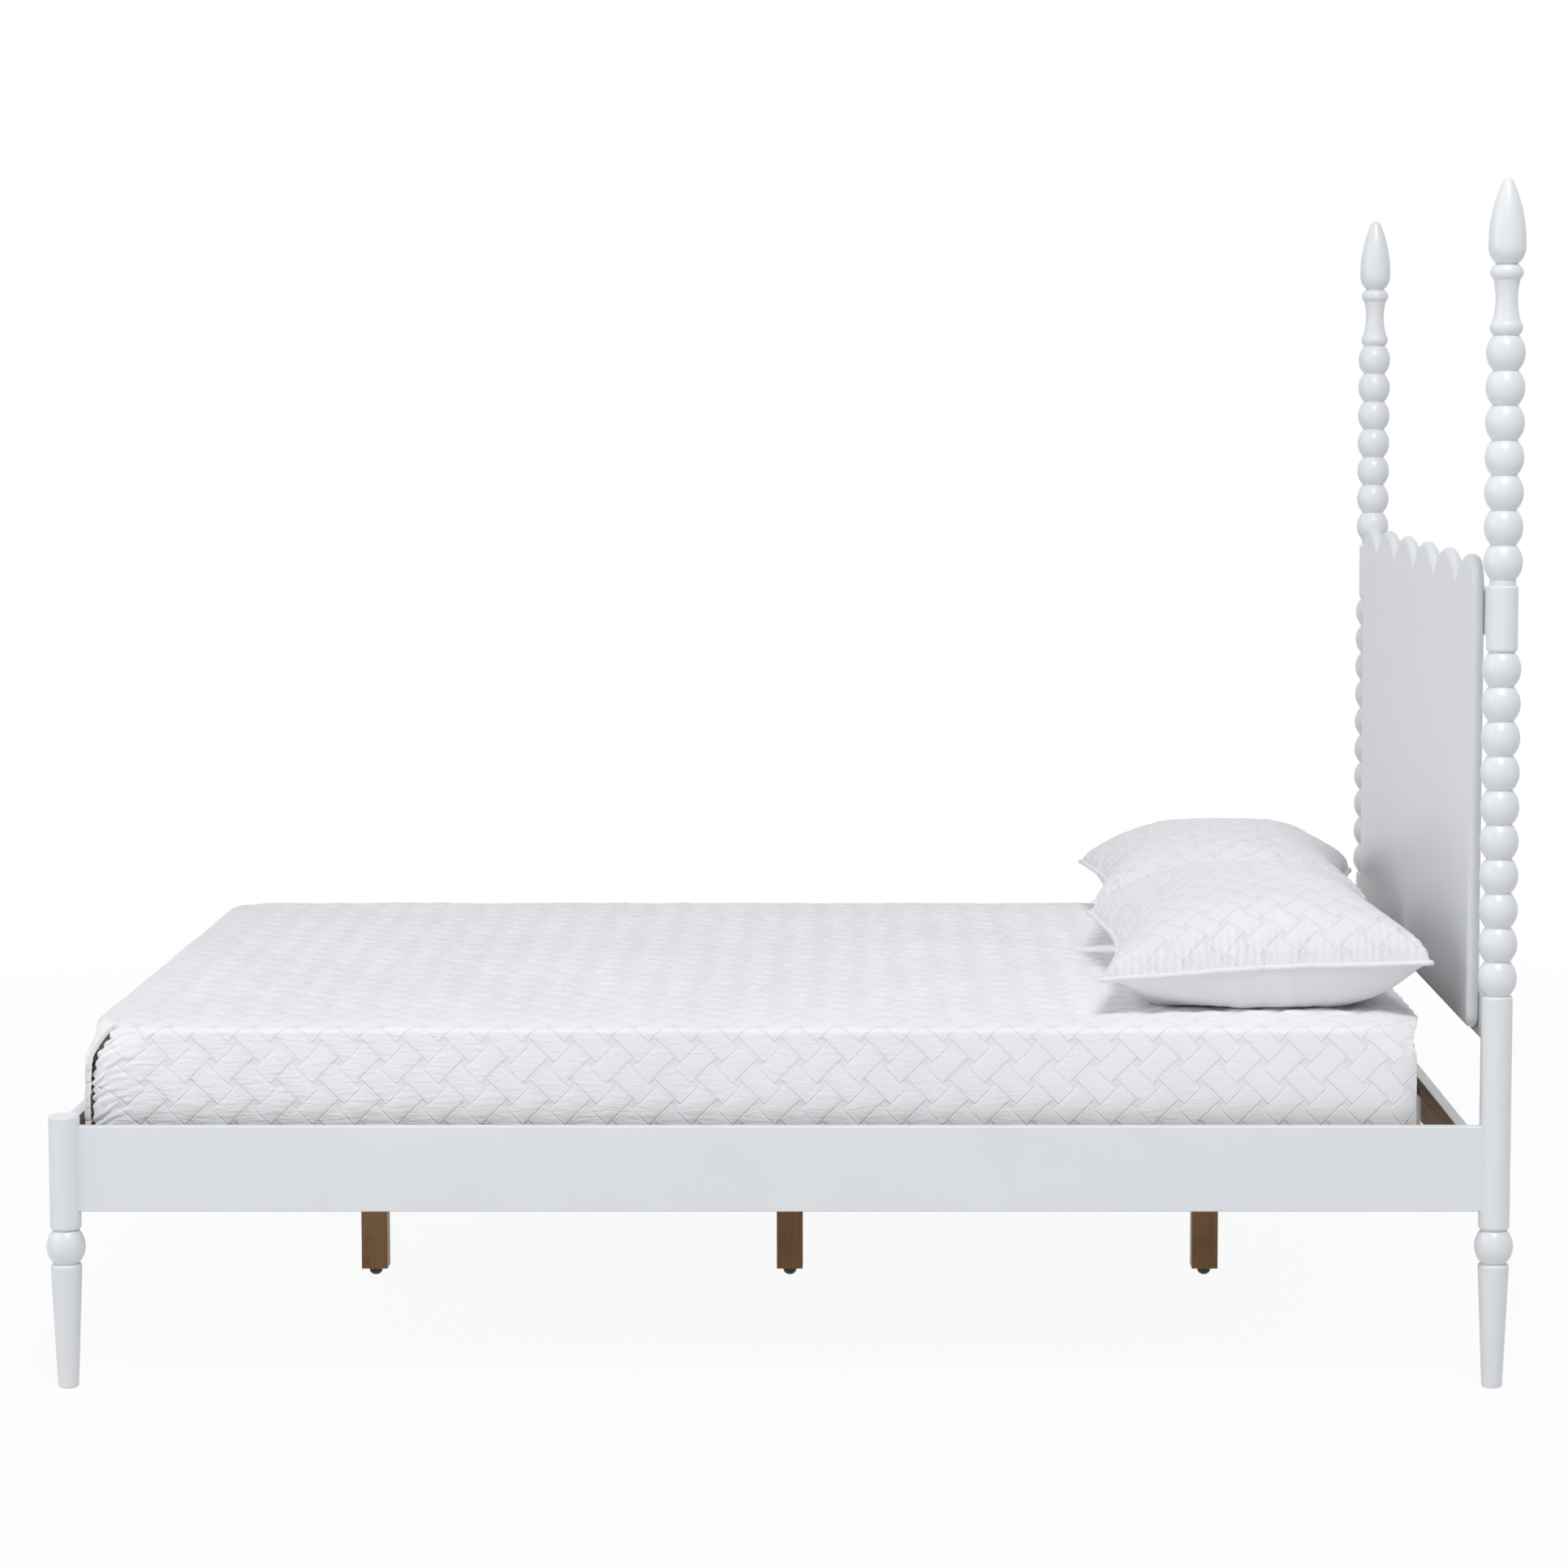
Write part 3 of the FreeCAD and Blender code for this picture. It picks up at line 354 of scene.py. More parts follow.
def quilting(tree, flat, bump, crinkle, depth, groove_depth):
    """Adds crinkles, stitched grooves and rows of stitches to a bump of cloth."""
    stretched = add(tree, "Mapping", {"Scale": [1 / (size * MM) for size in crinkle] + [1], "Vector": flat})
    folds = add(tree, "TexNoise", {"Scale": 1.0, "Detail": 2.0, "Distortion": 0.5, "Vector": stretched})
    taut = add(tree, "Attribute", attribute_name="taut").outputs["Fac"]
    slack = add(tree, "Math", {0: 1.0, 1: taut}, operation="SUBTRACT")
    raised = add(tree, "Math", {0: folds, 1: slack}, operation="MULTIPLY")
    bump = add(tree, "Bump", {"Strength": 0.8, "Distance": depth * MM, "Height": raised, "Normal": bump})
    inside, square = stitching(tree, flat)
    groove = add(tree, "MapRange", {"From Min": 0.0, "From Max": STITCH_WIDTH / WEAVE_STEP, "Value": inside},
                 interpolation_type="SMOOTHSTEP")
    bump = add(tree, "Bump", {"Strength": 1.0, "Distance": groove_depth * MM, "Height": groove, "Normal": bump})
    slant = add(tree, "VectorMath", {0: flat, 1: (SLANT, SLANT, 0)}, operation="DOT_PRODUCT").outputs["Value"]
    turns = add(tree, "Math", {0: slant, 1: 2 * math.pi / (STITCH_ROW * MM)}, operation="MULTIPLY")
    rows = add(tree, "Math", {0: turns}, operation="SINE")
    hatch = add(tree, "Math", {0: rows, 1: square}, operation="MULTIPLY")
    return add(tree, "Bump", {"Strength": 0.5, "Distance": ROW_DEPTH * MM, "Height": hatch, "Normal": bump})


def cotton(name, dark, light, **quilted):
    """White washed cotton in two tones, plain, or quilted with the sizes of its crinkles and the depth of both."""
    material, tree, shader, place = new_material(name)
    flat = add(tree, "UVMap", uv_map="cloth")
    cloud = add(tree, "TexNoise", {"Scale": 1 / (COTTON_CLOUD * MM), "Detail": 2.0, "Vector": place})
    colour = two_tones(add(tree, "ValToRGB", {"Fac": cloud}), dark, light, 0.3, 0.7)
    threads = add(tree, "TexNoise", {"Scale": 1 / (COTTON_THREAD * MM), "Detail": 1.0, "Vector": flat})
    bump = add(tree, "Bump", {"Strength": 0.12, "Distance": THREAD_DEPTH * MM, "Height": threads})
    if quilted:
        bump = quilting(tree, flat, bump, **quilted)
    plug(tree, shader, {"Roughness": 0.85, "Sheen Weight": 0.12, "Sheen Roughness": 0.5, "Base Color": colour,
                        "Normal": bump})
    return material


def woven_ticking():
    """Close brown twill of a mattress cover, with a pale stripe."""
    material, tree, shader, place = new_material("brown_twill_ticking")
    stripe = add(tree, "TexWave", {"Scale": 1 / (TICKING_STRIPE * MM), "Distortion": 0.2, "Vector": place},
                 wave_type="BANDS", bands_direction="DIAGONAL").outputs["Fac"]
    colour = two_tones(add(tree, "ValToRGB", {"Fac": stripe}), "#5C4A3B", "#6C5848", 0.55, 0.9)
    threads = add(tree, "TexNoise", {"Scale": 1 / (TICKING_THREAD * MM), "Detail": 1.0, "Vector": place})
    bump = add(tree, "Bump", {"Strength": 0.3, "Distance": TWILL_DEPTH * MM, "Height": threads})
    plug(tree, shader, {"Roughness": 0.9, "Base Color": colour, "Normal": bump})
    return material


quilted_cotton = cotton("quilted_white_cotton", "#EEEFF2", "#F3F4F6", crinkle=(26.0, 5.8), depth=2.0, groove_depth=0.68)
sham_cotton = cotton("quilted_white_cotton_on_shams", "#E6E5E8", "#EBEAED", crinkle=(8.5, 50.0), depth=3.4,
                     groove_depth=0.6)
# Painted shade: the backs' white cotton is toned a little darker than the coverlet's, for the shade beneath the pillows
back_cotton_with_painted_shade = cotton("plain_white_cotton_with_painted_shade_on_backs", "#ECEBEF", "#F2F1F4")
piping_cotton = cotton("plain_white_cotton_on_piping", "#EAE9EC", "#EFEEF1")
ticking = woven_ticking()
print("cloths:", quilted_cotton.name, sham_cotton.name, back_cotton_with_painted_shade.name, piping_cotton.name, ticking.name)

# %% [markdown]
# ## Finishes on the frame
# The timber, bolts and glides keep their measured shapes and only take a finish. Their meshes are shaded smooth where
# two facets meet at a shallow angle, so the turned beads look round while the rails keep crisp edges.

# %% Dress the frame
SMOOTH_BELOW = math.radians(32)
SOFT_NODES = ("mattress", "coverlet", "pillow_near", "pillow_far")
ZINC_PARTS = ("slat_screws", "beam_bracket", "bed_bolts", "barrel_nuts", "panel_screws", "cleat_screws",
              "bracket_screws", "leg_bolts", "leg_tee_nuts", "upper_post_screws")
# A piece takes the first finish that its name begins with
finishes = dict.fromkeys(ZINC_PARTS, zinc) | dict.fromkeys(("upper_post", "head_post", "foot_post"), turned_enamel) | {
    "headboard_": panel_enamel, "centre_leg": stained_leg, "leg_glide": nylon, "centre_beam": beam_pine,
    "slat_cleat": beam_pine, "slat_": slat_pine, "rail_dowels": slat_pine} | rail_enamel
for name, piece in nodes.items():
    if name in SOFT_NODES:
        continue
    piece.data.materials.clear()
    piece.data.materials.append(next(finish for start, finish in finishes.items() if name.startswith(start)))
    piece.data.shade_smooth()
    piece.data.set_sharp_from_angle(angle=SMOOTH_BELOW)
print(len(nodes) - len(SOFT_NODES), "frame pieces have their finish")

# %% [markdown]
# ## The quilting
# Each stretch of band that lies on top in the weave is a little cushion, flat in the middle and rounded towards its
# stitches. The function below gives the height of that cushion at any point of the flat cloth, by the same rule that
# the material uses for the stitched lines. The lines of the mesh will run along the stitching, so that each is a clean
# valley. Lengths of cloth are in millimetres from here on, except where the shams are sewn, filled and set down.

# %% Quilting heights
PUFF_HEIGHT, PUFF_ROUNDING = 1.8, 2.2
# Mesh lines across one step of the weave, from a stitched line: the valley's foot, the puff's flank, and so on
WEAVE_LINES = (0.0, 2.2, 7.5, 24.5, 29.8, 32.0)
RIPPLE_WAVES, RIPPLE_SPREAD, RIPPLE_SUM = 7, (0.6, 1.7), 4
TINY = 1e-12


def ease(distance, run):
    """How far along a run a distance is, from 0 to 1."""
    return np.clip(distance / run, 0, 1)


def puff(u, v):
    """Height of the quilting from 0 to 1 on the flat cloth."""
    half = BAND_WIDTH / 2
    ways = (u + v) * SLANT, (v - u) * SLANT
    cell = [np.round(way / WEAVE_STEP) for way in ways]
    away = [np.abs(way - k * WEAVE_STEP) for way, k in zip(ways, cell)]
    even = (cell[0] + cell[1]) % 2 == 0
    across, along = np.where(even, away[1], away[0]), np.where(even, away[0], away[1])
    on_top = np.minimum(half - across, WEAVE_STEP - half - along)
    below = np.minimum(half - along, across - half)
    return 1 - (1 - ease(np.maximum(on_top, below), PUFF_REACH)) ** PUFF_ROUNDING


def ripple(u, v, run, seed):
    """Slow unevenness of cloth from -1 to 1, the same each time."""
    r = np.random.default_rng(seed)
    total = np.zeros_like(u)
    for _ in range(RIPPLE_WAVES):
        angle, phase = r.uniform(0, 2 * math.pi, 2)
        k = 2 * math.pi / (run * r.uniform(*RIPPLE_SPREAD))
        total += np.sin(k * (u * math.cos(angle) + v * math.sin(angle)) + phase)
    return total / RIPPLE_SUM


print("puff at a crossing, near a stitch and in a square:",
      puff(np.array([0.0, 0.0, 30.4]), np.array([0.0, 22.0, 0.0])).round(2))

# %% [markdown]
# ## Pieces of cloth and tape
# A few small functions serve all of the bedding. One makes an object of points and faces, and gives quilted cloth its
# flat coordinates and its tautness. Others make closed tubes for tapes and piping, and a flat mesh whose lines run
# along the stitching.

# %% Helpers for soft pieces
CUT_MERGE = 0.01


def smooth_piece(name, points, faces, materials, flat=None, taut=None):
    """A smooth object of points in metres, with the flat cloth's coordinates and tautness if it is quilted."""
    piece = new_piece(name, points.tolist(), faces)
    mesh = piece.data
    if flat is not None:
        corners = np.zeros(len(mesh.loops), np.int32)
        mesh.loops.foreach_get("vertex_index", corners)
        mesh.uv_layers.new(name="cloth").data.foreach_set("uv", (flat[corners] * MM).astype(np.float32).ravel())
        mesh.attributes.new("taut", "FLOAT", "POINT").data.foreach_set("value", taut.astype(np.float32))
    for material in materials:
        mesh.materials.append(material)
    mesh.shade_smooth()
    return piece


def tube(path, radius, sides=8):
    """Points and faces of a closed round tube along a closed path."""
    ahead = np.roll(path, -1, 0) - np.roll(path, 1, 0)
    ahead /= np.linalg.norm(ahead, axis=1, keepdims=True)
    aside = np.cross(ahead, (0, 0, 1))
    aside /= np.linalg.norm(aside, axis=1, keepdims=True)
    above = np.cross(aside, ahead)
    turns = np.linspace(0, 2 * math.pi, sides, endpoint=False)[:, None]
    points = path[:, None] + radius * (aside[:, None] * np.cos(turns) + above[:, None] * np.sin(turns))
    here = np.arange(len(path) * sides).reshape(len(path), sides)
    onward, around = np.roll(here, -1, 0), np.roll(here, -1, 1)
    faces = np.stack([here, around, np.roll(around, -1, 0), onward], -1).reshape(-1, 4)
    return points.reshape(-1, 3), faces.tolist()


def split(sheet, low, high, clear=False):
    """Cuts a flat mesh along the four edges of a rectangle, and with clear takes away what lies beyond."""
    for place, way in (((low[0], 0, 0), (-1, 0, 0)), ((high[0], 0, 0), (1, 0, 0)),
                       ((0, low[1], 0), (0, -1, 0)), ((0, high[1], 0), (0, 1, 0))):
        whole = sheet.verts[:] + sheet.edges[:] + sheet.faces[:]
        bmesh.ops.bisect_plane(sheet, geom=whole, dist=CUT_MERGE, plane_co=place, plane_no=way, clear_outer=clear)


def cells(n):
    """The four corners of each cell in a grid of numbers."""
    return np.stack([n[:-1, :-1], n[1:, :-1], n[1:, 1:], n[:-1, 1:]], -1)


def weave_sheet(low, high, lines):
    """Flat mesh whose lines run along the stitching, cut to a rectangle between two corners."""
    repeat, margin = WEAVE_STEP * 2 * SLANT, WEAVE_STEP / 2
    middle = repeat * round((low[0] + high[0]) / 2 / repeat)
    reach = int((high[0] - low[0] + high[1] - low[1]) / 2 / repeat) + 2
    lines = np.concatenate([k * WEAVE_STEP - BAND_WIDTH / 2 + np.array(lines) for k in range(-reach, reach + 1)])
    a, b = np.meshgrid(lines, lines, indexing="ij")
    u, v = (a - b) * SLANT + middle, (a + b) * SLANT
    inside = (u > low[0] - margin) & (u < high[0] + margin) & (v > low[1] - margin) & (v < high[1] + margin)
    number = np.cumsum(inside).reshape(inside.shape) - 1
    quads = cells(number)[cells(inside).all(-1)]
    points = np.stack([u[inside], v[inside], np.zeros(inside.sum())], -1)
    mesh = bpy.data.meshes.new("flat_weave")
    mesh.from_pydata(points.tolist(), [], quads.tolist())
    sheet = bmesh.new()
    sheet.from_mesh(mesh)
    bpy.data.meshes.remove(mesh)
    split(sheet, low, high, clear=True)
    return sheet


def facing(carry, u, v, step=0.5):
    """The outward direction of cloth whose flat points a function carries to their places."""
    normal = np.cross(carry(u + step, v) - carry(u - step, v), carry(u, v + step) - carry(u, v - step))
    return normal / np.maximum(np.linalg.norm(normal, axis=1, keepdims=True), TINY)


def taken(sheet):
    """Points and faces of a flat mesh, which is then let go."""
    sheet.verts.index_update()
    points = np.array([p.co[:2] for p in sheet.verts])
    faces = [[p.index for p in f.verts] for f in sheet.faces]
    sheet.free()
    return points, faces


print("lines in one step of the weave:", len(WEAVE_LINES))

# %% [markdown]
# ## The coverlet
# The coverlet is one flat sheet with two squares cut out of it at the foot corners, so that its sides and its foot flap
# hang straight and the mattress shows in the slit between them. A simulation could drape it, but a cloth that fits this
# well follows the mattress everywhere, and the quilting has to stay crisp. So the flat sheet is drawn with its mesh
# lines along the stitching, cut to its outline, and each point is then carried to its place: along the top, round the
# soft edge by the length of the curve, and down the side. The edge is a gentle arc and then a tight one, each given by
# its radius, with the angle at which they meet.

# %% Where the flat cloth goes
EDGE_WIDTH = 68.0
SIDE_EDGE, FOOT_EDGE = (260.0, math.radians(14), 8.0), (570.0, math.radians(6), 10.0)
ARC_POINTS, BELOW_BED = 60, 50.0
CROWN, CROWN_RUN = 2.0, 240.0
# How square the cloth's corners are in plan: on top, at the free foot flap and at the free side
PLAN_POWER, FLAP_POWER, SIDE_POWER = 2.8, 16, 5
SLIT_RUN, FREE_RUN = 45.0, 85.0
CORNER_ROUND, ROUND_DROP, LOWER_ROUND_SHARE = 120.0, 45.0, 0.05
HEAD_OVERHANG = 7.0
cover_low, cover_high = (np.array(corner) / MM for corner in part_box("coverlet"))
mattress_low, mattress_high = (np.array(corner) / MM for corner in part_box("mattress"))
face_foot, face_head = cover_low[0] + PUFF_HEIGHT, mattress_high[0] + HEAD_OVERHANG - PUFF_HEIGHT
face_side = cover_high[1] - PUFF_HEIGHT
edge_foot, edge_head, edge_side = face_foot + EDGE_WIDTH, face_head - EDGE_WIDTH, face_side - EDGE_WIDTH
edge_top = cover_high[2] - PUFF_HEIGHT - CROWN
hem_height = cover_low[2]


def edge_curve(gentle, tilt, tight):
    """The edge of the mattress from level to upright: length, outward run and drop."""
    first, second = np.linspace(0, tilt, ARC_POINTS), np.linspace(tilt, math.pi / 2, ARC_POINTS)[1:]
    out = np.concatenate([gentle * np.sin(first),
                          gentle * math.sin(tilt) + tight * (np.sin(second) - math.sin(tilt))])
    drop = np.concatenate([gentle * (1 - np.cos(first)),
                           gentle * (1 - math.cos(tilt)) + tight * (math.cos(tilt) - np.cos(second))])
    out = np.append(out * EDGE_WIDTH / out[-1], EDGE_WIDTH)
    drop = np.append(drop, edge_top - mattress_low[2] + BELOW_BED)
    return np.append(0, np.cumsum(np.hypot(np.diff(out), np.diff(drop)))), out, drop


side_curve, foot_curve = edge_curve(*SIDE_EDGE), edge_curve(*FOOT_EDGE)
side_length, foot_length = (float(np.interp(edge_top - hem_height, c[2], c[0])) for c in (side_curve, foot_curve))
head_length = float(np.interp(mattress_high[0] - edge_head, side_curve[1], side_curve[0]))


def past_edges(u, v):
    """How far points of the flat cloth are past the beginning of the soft edge, at the foot and at the sides."""
    return np.clip(edge_foot - u, 0, None), np.clip(np.abs(v) - edge_side, 0, None)


def drape(u, v):
    """Carries points of the flat cloth to the bed."""
    past_foot, past_side = past_edges(u, v)
    past_end = past_foot + np.clip(u - edge_head, 0, None)
    length = np.hypot(past_end, past_side)
    at_foot = (past_foot / np.maximum(length, TINY)) ** 2
    out, drop = ((1 - at_foot) * np.interp(length, side_curve[0], side_curve[k])
                 + at_foot * np.interp(length, foot_curve[0], foot_curve[k]) for k in (1, 2))
    angle = np.arctan2(np.minimum(past_end, EDGE_WIDTH), np.minimum(past_side, EDGE_WIDTH))
    # The corner is round in plan, but below it the free foot flap and the side hang straight
    free = ease(np.maximum(past_foot, past_side) - SLIT_RUN, FREE_RUN) * (np.minimum(past_foot, past_side) > 0)
    power = PLAN_POWER + (np.where(past_foot > past_side, FLAP_POWER, SIDE_POWER) - PLAN_POWER) * free
    norm = (np.cos(angle) ** power + np.sin(angle) ** power) ** (1 / power)
    along, aside = out * np.sin(angle) / norm, out * np.cos(angle) / norm
    x = np.clip(u, edge_foot, edge_head) + np.where(past_foot > 0, -along, along)
    y = np.sign(v) * (np.minimum(np.abs(v), edge_side) + aside)
    swell = ease(np.minimum(np.minimum(u - edge_foot, edge_head - u), edge_side - np.abs(v)), CROWN_RUN)
    z = edge_top - drop + CROWN * swell * (2 - swell)
    # Seen from above the top's corners are wide rounds, which the hanging cloth leaves below
    rounding = CORNER_ROUND * np.interp(drop, (0, ROUND_DROP), (1, LOWER_ROUND_SHARE))
    p = np.clip(1 - np.minimum(x - face_foot, face_head - x) / CORNER_ROUND, 0, 1)
    q = np.clip(1 - (face_side - np.abs(y)) / CORNER_ROUND, 0, 1)
    x = x + np.sign(edge_foot + edge_head - 2 * x) * rounding * p * (1 - np.sqrt(1 - q * q / 2))
    y = y - np.sign(y) * rounding * q * (1 - np.sqrt(1 - p * p / 2))
    return np.stack([x, y, z], -1)


print("cut of the coverlet, mm:", round(edge_head + head_length - edge_foot + foot_length), "by",
      round(2 * (edge_side + side_length)))

# %% Cut the coverlet
FINE_REACH, FINE_CUTS = 75.0, 2
# Extra mesh lines where the edge turns tightly into the side
TIGHT_LINES, TIGHT_MARGIN = 6, 3.0
tight_start = SIDE_EDGE[0] * SIDE_EDGE[1]
tight_end = tight_start + SIDE_EDGE[2] * (math.pi / 2 - SIDE_EDGE[1])
cut_foot, cut_head, cut_side = edge_foot - foot_length, edge_head + head_length, edge_side + side_length
slit_end, slit_side = edge_foot - SLIT_RUN, edge_side + SLIT_RUN


def slit_distance(place):
    """How far a point of the flat cloth is from the nearer slit at the foot, if it is past an edge."""
    past = place.x < edge_foot or abs(place.y) > edge_side
    return max(place.x - slit_end, slit_side - abs(place.y), 0) if past else math.inf


def coverlet_flat():
    """The coverlet's flat cloth, with extra lines at the tight edge, its corners cut out, and fine at the slits."""
    sheet = weave_sheet((cut_foot, -cut_side), (cut_head, cut_side), WEAVE_LINES)
    for run in np.linspace(tight_start - TIGHT_MARGIN, tight_end, TIGHT_LINES):
        split(sheet, (edge_foot - run, -edge_side - run), (edge_head + run, edge_side + run))
    for side in (-1, 1):
        for place, way in (((slit_end, 0, 0), (1, 0, 0)), ((0, side * slit_side, 0), (0, 1, 0))):
            part = [f for f in sheet.faces if f.calc_center_median().x < slit_end + WEAVE_STEP
                    and side * f.calc_center_median().y > slit_side - WEAVE_STEP]
            part += list({e for f in part for e in f.edges}) + list({p for f in part for p in f.verts})
            bmesh.ops.bisect_plane(sheet, geom=part, dist=CUT_MERGE, plane_co=place, plane_no=way)
        cut = [f for f in sheet.faces if f.calc_center_median().x < slit_end
               and side * f.calc_center_median().y > slit_side]
        bmesh.ops.delete(sheet, geom=cut, context="FACES")
    for _ in range(FINE_CUTS):
        near_slit = {e for f in sheet.faces for e in f.edges if slit_distance(f.calc_center_median()) < FINE_REACH}
        bmesh.ops.subdivide_edges(sheet, edges=list(near_slit), cuts=1, use_grid_fill=True)
    return taken(sheet)


cloth_flat, cloth_faces = coverlet_flat()
print("coverlet:", len(cloth_flat), "points,", len(cloth_faces), "faces")

# %% [markdown]
# ## Puckers, puffs and hems
# Near the slits the stitched hems pull the cloth together and gather it into puckers, and the foot flap stands off a
# little. The puffs are full on top, pulled flat round the edge and thin where the cloth hangs. Towards the head the
# hanging cloth is drawn tighter, so its quilting is calmer. On top the cloth lies in shallow ripples along the bed.

# %% Pull the cloth at the slits
HEM_PULL, PULL_RUN, SIDE_EASE, FLAP_EASE = 22.0, 60.0, 80.0, 35.0
PUCKER_HEIGHT, PUCKER_STEP, PUCKER_FADE, PUCKER_START = 5.0, 13.5, 30.0, 14.0
PUCKER_LEAN, PUCKER_WANDER, WANDER_RUN, FLAP_PUCKER_SHARE = 0.22, 0.9, 60.0, 0.2


def pucker(u, v):
    """Folds that the stitched hems pull into the cloth."""
    past_foot, past_side = past_edges(u, v)
    on_side = past_side > past_foot
    from_slit = np.where(on_side, u - slit_end, slit_side - np.abs(v))
    drop = np.maximum(past_side, past_foot)
    near = np.exp(-np.clip(from_slit, 0, None) / PUCKER_FADE) * ease(drop - SLIT_RUN, PUCKER_START)
    turns = math.pi * (drop + PUCKER_LEAN * from_slit) / PUCKER_STEP
    fold = np.abs(np.sin(turns + PUCKER_WANDER * ripple(u, v, WANDER_RUN, seed=5)))
    return PUCKER_HEIGHT * near * fold * np.where(on_side, 1.0, FLAP_PUCKER_SHARE)


def pulled(u, v):
    """Flat places of the cloth after the hems beside the slits are pulled together below the corner."""
    past_foot, past_side = past_edges(u, v)
    side_near = np.exp(-np.clip(u - slit_end, 0, None) / PULL_RUN) * (past_side > past_foot)
    flap_near = np.exp(-np.clip(slit_side - np.abs(v), 0, None) / PULL_RUN) * (past_foot > past_side)
    return (u - HEM_PULL * side_near * ease(past_side - SLIT_RUN, SIDE_EASE),
            v + np.sign(v) * HEM_PULL * flap_near * ease(past_foot - SLIT_RUN, FLAP_EASE))


u, v = cloth_flat.T
pulled_flat = pulled(u, v)
print("most that a point is pulled, mm:", round(float(np.hypot(*(pulled_flat - cloth_flat.T)).max()), 1))

# %% Drape and hem the coverlet
FULLNESS_RUN, FULLNESS = (0.0, 30.0, 75.0, 110.0), (1.05, 0.35, 0.3, 0.5)
HEAD_CALM, CALM_START, CALM_RUN = 0.65, -650.0, 30.0
FLAP_FLARE, FLARE_RUN, FLARE_START = 6.0, 90.0, 60.0
SWELL_HEIGHT, SWELL_RUN = 0.7, 180.0
RIPPLE_HEIGHT, RIPPLE_RUN, RIPPLE_STRETCH, RIPPLE_END = 1.7, 30.0, 2, 40.0
HEM_THICKNESS = 9.0


def turned_hem(points, faces, outward):
    """Folds every open edge of a sheet inwards: the new points' sources, their places and the new faces."""
    uses = {}
    for face in faces:
        for start, end in zip(face, face[1:] + face[:1]):
            uses.setdefault((min(start, end), max(start, end)), []).append((start, end))
    rim = [pairs[0] for pairs in uses.values() if len(pairs) == 1]
    source = sorted({p for pair in rim for p in pair})
    number = {p: len(points) + i for i, p in enumerate(source)}
    folded = points[source] - outward[source] * HEM_THICKNESS
    return source, folded, [[end, start, number[start], number[end]] for start, end in rim]


cloth_out = facing(drape, *pulled_flat)
hang = np.maximum(*past_edges(u, v))
calm = HEAD_CALM * ease(u - CALM_START, edge_head - CALM_START) * ease(hang, CALM_RUN)
fullness = np.interp(hang, FULLNESS_RUN, FULLNESS) * (1 - calm)
flare = np.exp(-np.abs(slit_side - np.abs(v)) / FLARE_RUN) * ease(edge_foot - u - SLIT_RUN, FLARE_START)
lift = FLAP_FLARE * flare + PUFF_HEIGHT * fullness * puff(u, v) + pucker(u, v)
lift += SWELL_HEIGHT * ripple(u, v, SWELL_RUN, seed=3)
lift += RIPPLE_HEIGHT * ripple(u / RIPPLE_STRETCH, v, RIPPLE_RUN, seed=9) * np.clip(1 - hang / RIPPLE_END, 0, 1)
cloth_points = drape(*pulled_flat) + cloth_out * lift[:, None]
hem_source, hem_points, hem_faces = turned_hem(cloth_points, cloth_faces, cloth_out)
coverlet = smooth_piece("quilted_coverlet", np.concatenate([cloth_points, hem_points]) * MM, cloth_faces + hem_faces,
                        [quilted_cotton], flat=np.concatenate([cloth_flat, cloth_flat[hem_source]]),
                        taut=np.concatenate([calm, calm[hem_source]]))
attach(coverlet, "mattress")
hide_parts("coverlet")
print("coverlet's hem:", len(hem_faces), "faces")

# %% [markdown]
# ## The mattress
# Under the coverlet is a plain mattress in brown twill, with a tape sewn round its top and bottom edges. It shows in
# the slits at the foot, at the head end and from below, between the slats. It is a loft of rings that lie a little
# inside the coverlet, from the middle of the top to the underside, with two rolled tapes.

# %% Mattress
SKIN_INSET, UNDER_DROP, HEAD_RECESS = 6.0, 16.0, 10.0
CORNER_STEPS, INNER_CORNER = 9, 2.0
TOP_RUNS = (-240.0, -160.0, -90.0, -40.0)
# Most rings lie on the upper share of the way down, where the edge turns
UPPER_SHARE, UPPER_RINGS, LOWER_RINGS = 0.62, 26, 8
UNDER_RINGS = ((5.0, 11.0), (18.0, UNDER_DROP))
TAPE_RADIUS, TOP_TAPE_INSET, BOTTOM_TAPE_RISE = 2.5, 3.0, 40.0
mattress_run = side_curve[0][-1] - BELOW_BED


def mattress_ring(run):
    """Flat places round the mattress: run outwards from the soft edge's beginning, or inwards if it is negative."""
    places = []
    inward, turn = min(run, 0), max(run, INNER_CORNER)
    for end, side, start in ((edge_head, edge_side, 0), (edge_foot, edge_side, 90), (edge_foot, -edge_side, 180),
                             (edge_head, -edge_side, 270)):
        for angle in np.radians(np.linspace(start, start + 90, CORNER_STEPS)):
            places.append((end + math.copysign(inward, -end) + turn * math.cos(angle),
                           side + math.copysign(inward, -side) + turn * math.sin(angle)))
    return np.array(places)


def under_cloth(run):
    """Places on the mattress for a ring: inside the coverlet, and a little short of its hem at the head."""
    ring = mattress_ring(run)
    places = drape(*ring.T) - SKIN_INSET * facing(drape, *ring.T)
    places[:, 0] -= HEAD_RECESS * ease(places[:, 0] - edge_head, EDGE_WIDTH)
    return places


